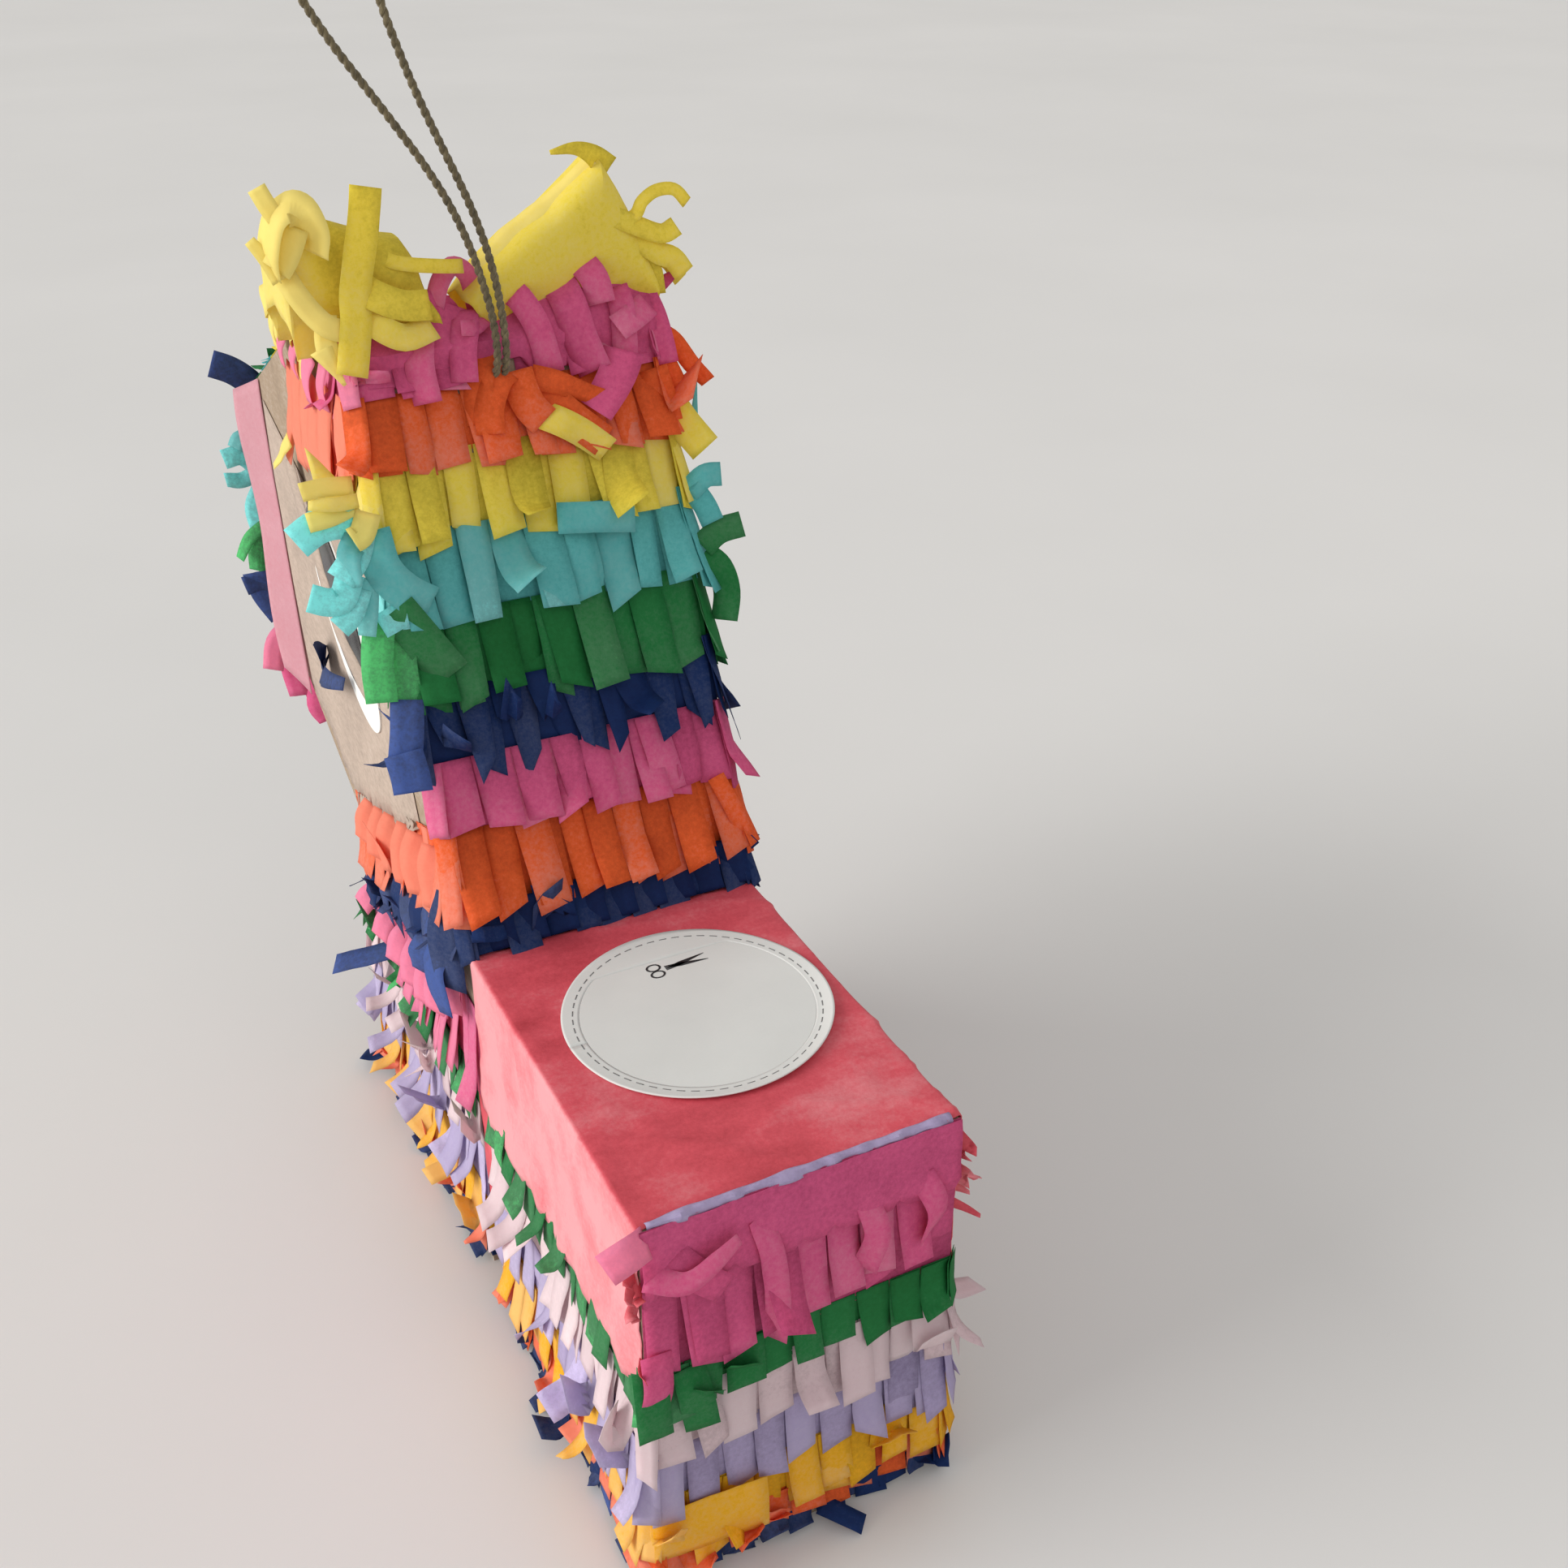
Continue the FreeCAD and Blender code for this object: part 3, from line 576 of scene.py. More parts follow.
def band(paper, route, top, bottom, tint=0.3):
    """The uncut strip of tissue under a row, glued flat to the card and following its corners."""
    stops = [start for start, *_ in route.legs] + [route.length]
    places = []
    for a, b in zip(stops, stops[1:]):
        count = max(1, round((b - a) / (4 * MM)))
        places += [a + (b - a) * i / count for i in range(count)]
    places.append(stops[-1])
    lines = []
    for u in places:
        point, out = route.at(u)
        high, low = (edge(point) if callable(edge) else edge for edge in (top, bottom))
        line = []
        for step in range(5):
            height = high + (low - high) * step / 4
            here = point + route.up * height * MM
            line.append(here + out * (BAND_OFFSET * MM + abs(crumple(here, 9, 0.35))))
        lines.append(line)
    paper.grid(lines, tint)


def shares(length, widths):
    """Splits a length in millimetres into strips of random widths that fill it."""
    parts = []
    while length - sum(parts) > widths[0] * 0.7:
        parts.append(rng.uniform(*widths))
    scale = length / sum(parts) if parts else 1
    return [part * scale for part in parts]


def fringe(
    paper, route, top, bottom, width=(7, 10), ragged=1.0, wild=0.1, layers=2, torn=False,
    overlap=3.0, spare=0.55, lively=1.0, skip=None,
):
    """A row of fringe between two heights along a route, in layers of strips.

    spare is the share of strips that the outer layers have, lively makes the strips on the left
    side wilder and smaller, and skip(x) is true where the row is parted. Strips that face the left
    side get a higher tint: painted light, paler where the window lights that side.
    """

    def hang(middle, size, stand, corner_out=None, **extra):
        point, out = route.at(middle)
        high, low = (edge(point) if callable(edge) else edge for edge in (top, bottom))
        high += overlap
        length = high - low + rng.gauss(0, ragged)
        if length < 3 or (skip and skip(point.x / MM)):
            return
        if corner_out:
            out = corner_out
        side = out.cross(-route.up)
        start = point + route.up * high * MM + out * stand * MM
        flat = lambda v: (start + side * v * (size - 0.3) * MM, out)
        look = strip_look(extra.pop("wild"), torn)
        look["lift"] += extra.pop("more_lift", 0)
        # painted light: strips that face the left side get a higher tint and read paler
        look["tint"] += 0.3 * max(0, out.x)
        ribbon(paper, flat, -route.up, length, size, **look)

    for layer in range(layers):
        for start, size, _, tangent in route.legs:
            left_side = tangent.cross(route.up).x > 0.7
            much = wild * (lively if left_side else 1)
            widths = (width[0] * 0.8, width[1] * 0.85) if left_side and lively > 1 else width
            u = start
            for part in shares(size / MM, widths):
                middle = u + part * MM / 2
                u += part * MM
                if layer == 0 or rng.random() < spare:
                    hang(
                        middle, part, 0.45 + 0.5 * layer + rng.uniform(0, 0.2),
                        wild=much * (1.1 if layer else 0.7), more_lift=0.07 * layer,
                    )
    for a, b in zip(route.legs, route.legs[1:]):
        out = (a[3].cross(route.up) + b[3].cross(route.up)).normalized()
        for stand in (0.5, 1.0):
            hang(b[0], rng.uniform(5, 7), stand, out, wild=wild * 0.6)


# ---------------------------------------------------------------- rows round the legs and body

UP = Vector((0, 0, 1))
CHEST = 72
FRONT_BLOCK, REAR_BLOCK = (CHEST, 169), (183, BODY_LENGTH)
FRONT_HALF, REAR_HALF = (CHEST, 173.5), (182.5, BODY_LENGTH)

# colour, CAD row, low, high, wildness
LOW_ROWS = [
    ("navy", "navy", 0.5, 5, 0.6),
    ("orange", "orange", 4, 12, 0.45),
    ("amber", "yellow", 10.5, 26, 0.3),
]
HIGH_ROWS = [
    ("lavender", "lavender", 25, 43, 0.25),
    ("pale_pink", "white", 42.5, 59, 0.25),
    ("green", "green", 57.5, 68, 0.25),
]


def finish_tissue(paper, node, colour):
    """Makes the tissue that takes the place of one CAD node."""
    paper.make(node + "_tissue", PAPER[colour], "tissue_" + colour, node)


def block_route(front, rear):
    """All round a leg block, from the inner corner of its left side."""
    left, right = HALF_WIDTH, -HALF_WIDTH
    corners = [(right, front), (left, front), (left, rear), (right, rear), (right, front)]
    return Route([spot(x, y, 0) for x, y in corners], UP)


def front_route(front, rear):
    """Round the front of the body, from the right side to the left."""
    corners = [(-HALF_WIDTH, rear), (-HALF_WIDTH, front), (HALF_WIDTH, front), (HALF_WIDTH, rear)]
    return Route([spot(x, y, 0) for x, y in corners], UP)


def rear_route(front, rear):
    """Round the rear of the body, from the left side to the right."""
    corners = [(HALF_WIDTH, front), (HALF_WIDTH, rear), (-HALF_WIDTH, rear), (-HALF_WIDTH, front)]
    return Route([spot(x, y, 0) for x, y in corners], UP)


def low_rows():
    for colour, cad, low, high, wild in LOW_ROWS:
        for end, block, half in (("front", FRONT_BLOCK, front_route), ("rear", REAR_BLOCK, rear_route)):
            paper = Paper()
            band(paper, block_route(*block), high, low + 2)
            fringe(paper, half(*block), high, low, wild=wild * 0.6, lively=1.7)
            flare_out(paper, half(*block), low, wild * 0.7)
            loose(paper, f"{end}_{cad}")
            finish_tissue(paper, f"{end}_fringe_{cad}", colour)


def flare_out(paper, route, low, wild):
    """A few loose bits near the ground that stand well out from the row."""
    for _ in range(int(route.length / MM * wild / 22)):
        u = rng.uniform(4, route.length / MM - 4) * MM
        size = rng.uniform(6, 9)
        point, out = route.at(u)
        base = flat_base(point + UP * (low + rng.uniform(5, 8)) * MM + out * 1.5 * MM, -UP, out, size)
        ribbon(
            paper, base, -UP, rng.uniform(9, 13), size, lift=rng.uniform(0.5, 1.1),
            lean=rng.gauss(0, 0.5), twist=rng.gauss(0, 0.8), bends=curled(), tint=rng.uniform(0.4, 0.8),
        )


def high_rows():
    for colour, cad, low, high, wild in HIGH_ROWS:
        for end, half, route in (("front", FRONT_HALF, front_route), ("rear", REAR_HALF, rear_route)):
            paper = Paper()
            path = route(*half)
            band(paper, path, high + 2, low + 2)
            fringe(paper, path, high, low, wild=wild * 0.5, lively=2.2)
            loose(paper, f"{end}_{cad}")
            finish_tissue(paper, f"{end}_fringe_{cad}", colour)


def rump_row():
    """Under the saddle's rear edge: a smooth glued band, cut into long strips below."""
    paper = Paper()
    path = Route([spot(HALF_WIDTH, BODY_LENGTH, 0), spot(-HALF_WIDTH, BODY_LENGTH, 0)], UP)
    band(paper, path, 112.5, 68.5, tint=0.12)
    low = lambda point: 70 + 10 * smooth((HALF_WIDTH * MM - point.x) / (76 * MM))
    fringe(paper, path, 98, low, overlap=0, wild=0.2, width=(7, 9), ragged=2, layers=2)
    sheet = []
    for i in range(39):
        x = -38 + 2 * i
        heights = (112.5, 110, 107, 104, 101, 98, 95 + 2 * (i % 4 == 0))
        line = [spot(x, 282.9 + 0.12 * (112.5 - z), z) for z in heights]
        sheet.append([point + Vector((0, 1, 0)) * crumple(point, 9, 0.7) for point in line])
    paper.grid(sheet, 0.4)
    loose(paper, "rump")
    finish_tissue(paper, "rear_fringe_pink", "pink")


# ---------------------------------------------------------------- rows up the neck

# The neck's rear face leans forward: this much run and rise in each unit along it.
NECK_RUN, NECK_RISE = 0.3678, 0.9299
NECK_UP, NECK_OUT = Vector((0, -NECK_RUN, NECK_RISE)), Vector((0, NECK_RISE, NECK_RUN))
NECK_FOOT = (178, BACK_HEIGHT)
CORD_GAP = (-3, 9)


def neck(across, along, inward=0.0):
    """A place on the neck: along its rear face from the foot, and inward through it."""
    station = NECK_FOOT[0] - NECK_RUN * along - NECK_RISE * inward
    return spot(across, station, NECK_FOOT[1] + NECK_RISE * along - NECK_RUN * inward)


def neck_route(wrap):
    left, right = HALF_WIDTH, -HALF_WIDTH
    corners = [neck(left, 0, wrap), neck(left, 0), neck(right, 0), neck(right, 0, wrap)]
    return Route(corners, NECK_UP)


def sloped(left, right):
    """A height that changes evenly from the left side to the right."""
    return lambda point: left + (right - left) * (HALF_WIDTH * MM - point.x) / (2 * HALF_WIDTH * MM)


# colour, CAD row, bottom on the left and right, top, wrap, wildness, torn ends, overlap
NECK_ROWS = [
    ("navy", "navy_low", -1.5, -1.5, 9, 108, 0.2, False, 3),
    ("orange", "orange_low", 9, 8, 27.5, 104, 0.06, False, 4),
    ("pink", "pink_low", 31, 27, 46, 3, 0.02, False, 3),
    ("navy", "navy", 45, 44, 62, 12, 0.2, True, 4),
    ("green", "green", 62, 59, 81, 14, 0.03, False, 3),
    ("cyan", "cyan", 82, 79, 101, 18, 0.1, False, 3),
    ("yellow", "yellow", 100, 99, 118, 20, 0.1, False, 4),
    ("orange", "orange", 117, 117, 132, 40, 0.08, False, 4),
    ("pink", "pink", 134.5, 136, 143.5, 30, 0.1, False, 2),
]


def neck_rows():
    for colour, cad, left, right, top, wrap, wild, torn, overlap in NECK_ROWS:
        paper = Paper()
        path = neck_route(wrap)
        if cad == "pink":
            for corners in ((neck(38, 0), neck(8.5, 0)), (neck(-1.5, 0), neck(-38, 0))):
                band(paper, Route(corners, NECK_UP), 143.8, 137)
            top_roll(paper)
            skip = lambda x: CORD_GAP[0] < x < CORD_GAP[1]
        else:
            band(paper, path, top + 2, min(left, right) + 4)
            skip = None
        fringe(
            paper, path, top, sloped(left, right), wild=wild, torn=torn, overlap=overlap, spare=0.7,
            lively=2.0, skip=skip,
        )
        loose(paper, "neck_" + cad)
        finish_tissue(paper, f"neck_fringe_{cad}", colour)


def top_roll(paper):
    """Pink tissue that swells up over the crown's rear edge before it hangs."""
    swell = between((-40, 9), (-26, 13), (-8, 9.5), (2, 4), (8, 7), (14, 9.5), (20, 5), (40, 3))
    sheet = []
    for i in range(42):
        x = -38.5 + 77 * i / 41
        rise = swell(x)
        rear = neck(x, 141) + NECK_OUT * 1.6 * MM
        line = [
            spot(x, 106, 246.9), spot(x, 112, CROWN_TOP + rise * 0.45),
            spot(x, 117, CROWN_TOP + rise * 0.85), spot(x, 120, CROWN_TOP + rise),
            spot(x, 123, 246.5 + rise * 0.75), rear + UP * 4 * MM, rear,
        ]
        if CORD_GAP[0] < x < CORD_GAP[1] - 1:
            line.append(neck(x, 140.5) + NECK_OUT * 1.2 * MM)
        else:
            line.append(neck(x, 137.5) + NECK_OUT * 1.9 * MM)
        sheet.append([p + Vector((0, 0.6, 0.8)) * crumple(p, 6, 1.3, 2.0) for p in curve_through(line, 2)])
    paper.grid(sheet, 0.42)


def shoulder_row():
    """Pink fringe round the chest and shoulders, up to where the slanting rows begin."""

    def top(point):
        station = point.y / MM + HALF_LENGTH
        return min(94, max(66, 108.3 - 0.3955 * (179.5 - station)))

    paper = Paper()
    path = front_route(FRONT_HALF[0], 179.2)
    band(paper, path, lambda point: top(point) + 3, 66)
    fringe(paper, path, top, 66, wild=0.1, overlap=3, width=(6, 8), lively=2.0)
    loose(paper, "front_pink")
    chest = Route([spot(-HALF_WIDTH, CHEST, 0), spot(HALF_WIDTH, CHEST, 0)], UP)
    band(paper, chest, 95.5, 64)
    fringe(paper, chest, 92, 76, wild=0.1, overlap=3)
    fringe(paper, chest, 78, 63, wild=0.1, overlap=3)
    finish_tissue(paper, "front_fringe_pink", "pink")


# ---------------------------------------------------------------- head

FOREHEAD_UP = Vector((0, 0.8967, 0.4428))
FOREHEAD_COLOURS = ["green", "cyan", "yellow", "orange", "pink"]
MUZZLE_COLOURS = ["pink", "navy", "green", "cyan", "navy"]


def head_rows():
    """Rows across the forehead and down the nose, one piece for each colour."""
    papers = {}
    forehead = Route([spot(-HALF_WIDTH, 0, 206), spot(HALF_WIDTH, 0, 206)], FOREHEAD_UP)
    muzzle = Route([spot(-HALF_WIDTH, 0, 128), spot(HALF_WIDTH, 0, 128)], UP)
    for colours, path, step in ((FOREHEAD_COLOURS, forehead, 18.06), (MUZZLE_COLOURS, muzzle, 15.6)):
        for row, colour in enumerate(colours):
            paper = papers.setdefault(colour, Paper())
            high = (row + 1) * step
            band(paper, path, min(high, step * 5 - 0.5), row * step + 2)
            fringe(paper, path, min(high, step * 5 - 3), row * step - 1, wild=0.1)
    for colour, paper in papers.items():
        loose(paper, "head_" + colour)
        replaced = {"yellow": "forehead_fringe", "navy": "muzzle_fringe"}.get(colour, ())
        paper.make(f"head_fringe_{colour}", PAPER[colour], "tissue_" + colour, replaced)


def paper_panel(low, high, stations, side, stand=0.25, lift=None, rows=14):
    """Lines of a flat sheet on one side of the head between two outlines, low(s) and high(s)."""
    lines = []
    for station in stations:
        line = []
        for row in range(rows + 1):
            height = low(station) + (high(station) - low(station)) * row / rows
            point = spot(0, station, height)
            proud = stand + (lift(station, row / rows) if lift else 0) + crumple(point, 14, 0.12) / MM
            line.append(spot(side * (HALF_WIDTH + proud), station, height))
        lines.append(line)
    return lines


def between(*corners):
    """A height for each station, straight from corner to corner."""

    def height(station):
        for (a, za), (b, zb) in zip(corners, corners[1:]):
            if station <= b:
                return za + (zb - za) * (station - a) / (b - a)
        return corners[-1][1]

    return height


FACE_LOW = between((14.5, 122.5), (71.5, 100.6), (144, 129.5))
FACE_HIGH = between((14.5, 206), (66, 192.8), (69, 193.8), (111.5, 210.2), (144, 130))


def face_paper(name, side):
    """The kraft sheet on one side of the head, with a frayed lower edge."""
    paper = Paper()
    stations = [14.5 + 129.3 * i / 60 for i in range(61)]
    fray = {s: rng.uniform(0, 2.5) for s in stations}
    low = lambda s: FACE_LOW(s) + fray[s]
    lift = lambda s, row: 1.6 * smooth((0.22 - row) / 0.22) * smooth((s - 60) / 50)
    paper.grid(paper_panel(low, FACE_HIGH, stations, side, lift=lift))
    if side > 0:
        loose(paper, "face_left")
    for i in range(26):
        station = 78 + 2.5 * i
        edge = FACE_LOW(station)
        places = [
            (side * 39.2, station, edge + 3), (side * around(40, 0.6), station, edge - rng.uniform(1, 4)),
        ]
        strip(
            paper, places, rng.uniform(1, 3), rng.uniform(0.3, 0.7), 0.3, face=(side, 0, 0),
            steps=4, columns=3,
        )
    paper.make(f"face_paper_{name}_sheet", PAPER["kraft"], "kraft_paper", f"face_paper_{name}")


def bridle_strip(name, side):
    """The strip that binds the nose: it stands off at the nose, and its lower end slants back."""
    jaw = lambda s: 127.5 - s * 0.444
    nose_top = lambda s: 205.5 + s * 0.494
    lift = lambda s, row: (5.4 + 0.8 * math.sin(9 * row)) * (1 - s / 12.7) ** 1.2
    stations = [0.6 + 1.2 * i for i in range(11)]
    strap = paper_panel(jaw, nose_top, stations, side, stand=0.45, lift=lift, rows=26)
    back = spot(side * 0.6, 15, -6.6) - spot(0, 0, 0)
    paper = Paper()
    paper.grid(
        [[p + back * (1 - j / (len(line) - 1)) ** 1.5 for j, p in enumerate(line)] for line in strap], 0.8
    )
    finish_tissue(paper, f"bridle_strip_{name}", "dusty_pink")


def crown():
    """Pink tissue on the crown."""
    paper = Paper()
    lines = []
    for i in range(20):
        x = -37.8 + 75.6 * i / 19
        line = [spot(x, 81.2 + 28 * j / 9, 246.2) for j in range(10)]
        lines.append([p + UP * abs(crumple(p, 7, 0.5)) for p in line])
    paper.grid(lines, 0.45)
    loose(paper, "crown")
    finish_tissue(paper, "crown_paper_pink", "pink")


def stepped(values, count):
    """The value at each of count even places through a list, straight in between."""
    result = []
    for i in range(count):
        t = i / (count - 1) * (len(values) - 1)
        k = min(int(t), len(values) - 2)
        result.append(tuple(a + (b - a) * (t - k) for a, b in zip(values[k], values[k + 1])))
    return result


def ear_wrap(paper, top, foot, rear, front, wrinkle, size, seed, shade):
    """Tissue wrapped over an ear: top and foot give (across, height) along the ridge and along the
    lower edge of the rear face, and rear and front the stations of those faces."""
    count = 46
    lines = []
    for (xt, zt), (xf, zf) in zip(stepped(top, count), stepped(foot, count)):
        rise = zt - zf
        centres = [
            spot(xf, rear, CROWN_TOP), spot(xf, rear + 1, zf),
            spot(xf + (xt - xf) * 0.35, rear + 2.6, zf + rise * 0.38),
            spot(xf + (xt - xf) * 0.75, rear + 1.6, zf + rise * 0.76), spot(xt, rear - 1.5, zt - 1.2),
            spot(xt, (rear + front) / 2 + 2, zt), spot(xt, (rear + front) / 2 - 1, zt - 0.8),
            spot(xt, front + 1.5, zt - 3), spot((xt + xf) / 2, front - 0.5, zf + rise * 0.45),
            spot(xf, front, CROWN_TOP),
        ]
        push = Vector((0, 0.9, 0.35))
        line = [p + push * crumple(p, size, wrinkle, seed) for p in curve_through(centres, 3)]
        lines.append(line)
    paper.grid(lines, [shade(line[8].x / MM) for line in lines])


def right_ear():
    right = Paper()
    ear_wrap(
        right,
        [
            (7.6, 257), (1, 264.5), (-7, 270.5), (-15.5, 275.2), (-24.5, 282.3), (-28.6, 285.6),
            (-32.5, 279), (-37, 270), (-41.5, 258),
        ],
        [
            (4, 250), (-1, 252.5), (-8, 254), (-15, 256), (-21, 257), (-26, 257), (-31.5, 256),
            (-36, 254), (-41, 250),
        ],
        121.5, 104, 1.2, 15, 4.0, lambda x: 0.6,
    )
    strip(
        right,
        [
            (4, 118.5, 261), (-3, 118.5, 267.4), (-10, 118, 272), (-17, 118, 276),
            (-24.5, 118.5, 281.6), (-27.6, 119, 284.4),
        ],
        5.6, 0.95, face=(0.35, 0.62, 0.7), steps=8,
    )
    loose(right, "ear_right")
    finish_tissue(right, "ear_paper_right", "yellow")


def left_ear():
    left = Paper()
    ear_wrap(
        left,
        [
            (14.5, 255), (18, 266), (21, 271.5), (27, 272.5), (34, 275), (38, 276.5), (43, 278),
            (47, 277), (50.5, 271), (50, 258),
        ],
        [
            (14, 249), (18, 250), (22, 250), (27, 250), (31, 250.5), (35, 252), (39, 253),
            (43, 252), (47, 250), (48, 247),
        ],
        # painted light: the wrap's tint rises toward the ear's outer left edge, on the lit side
        120, 103, 2.6, 8, 9.0, lambda x: 0.3 + 0.6 * smooth((x - 36) / 12),
    )
    for i in range(9):
        station = 58 + 5.5 * i
        low = 238 - 5 * math.sin(i * 1.3) + rng.uniform(-3, 3)
        places = [
            (39 + 1.2 * (i % 2), station + 3, 250), (41.5 + around(0, 0.5), station + 1, 246),
            (41.5 + around(0, 0.8), station - 2, low + 5), (40.3 + around(0, 0.8), station - 4, low),
        ]
        # painted light: these strips on the ear's left face get a high tint so they read as lit
        strip(
            left, places, rng.uniform(7, 9), rng.uniform(0.9, 1.2), rng.uniform(0.5, 1),
            roll=rng.gauss(0, 0.3), face=(1, 0, 0.1),
        )
    loose(left, "ear_left")
    finish_tissue(left, "ear_paper_left", "yellow")


# ---------------------------------------------------------------- loose strips

SIDE = {"face": (1, 0.1, 0.1)}
REAR = {"face": (0, 1, 0.1)}
THIN = {"taper": 0.15}
SIDE_REAR = {"face": (0.75, 0.65, 0.15), "roll": 0.3}

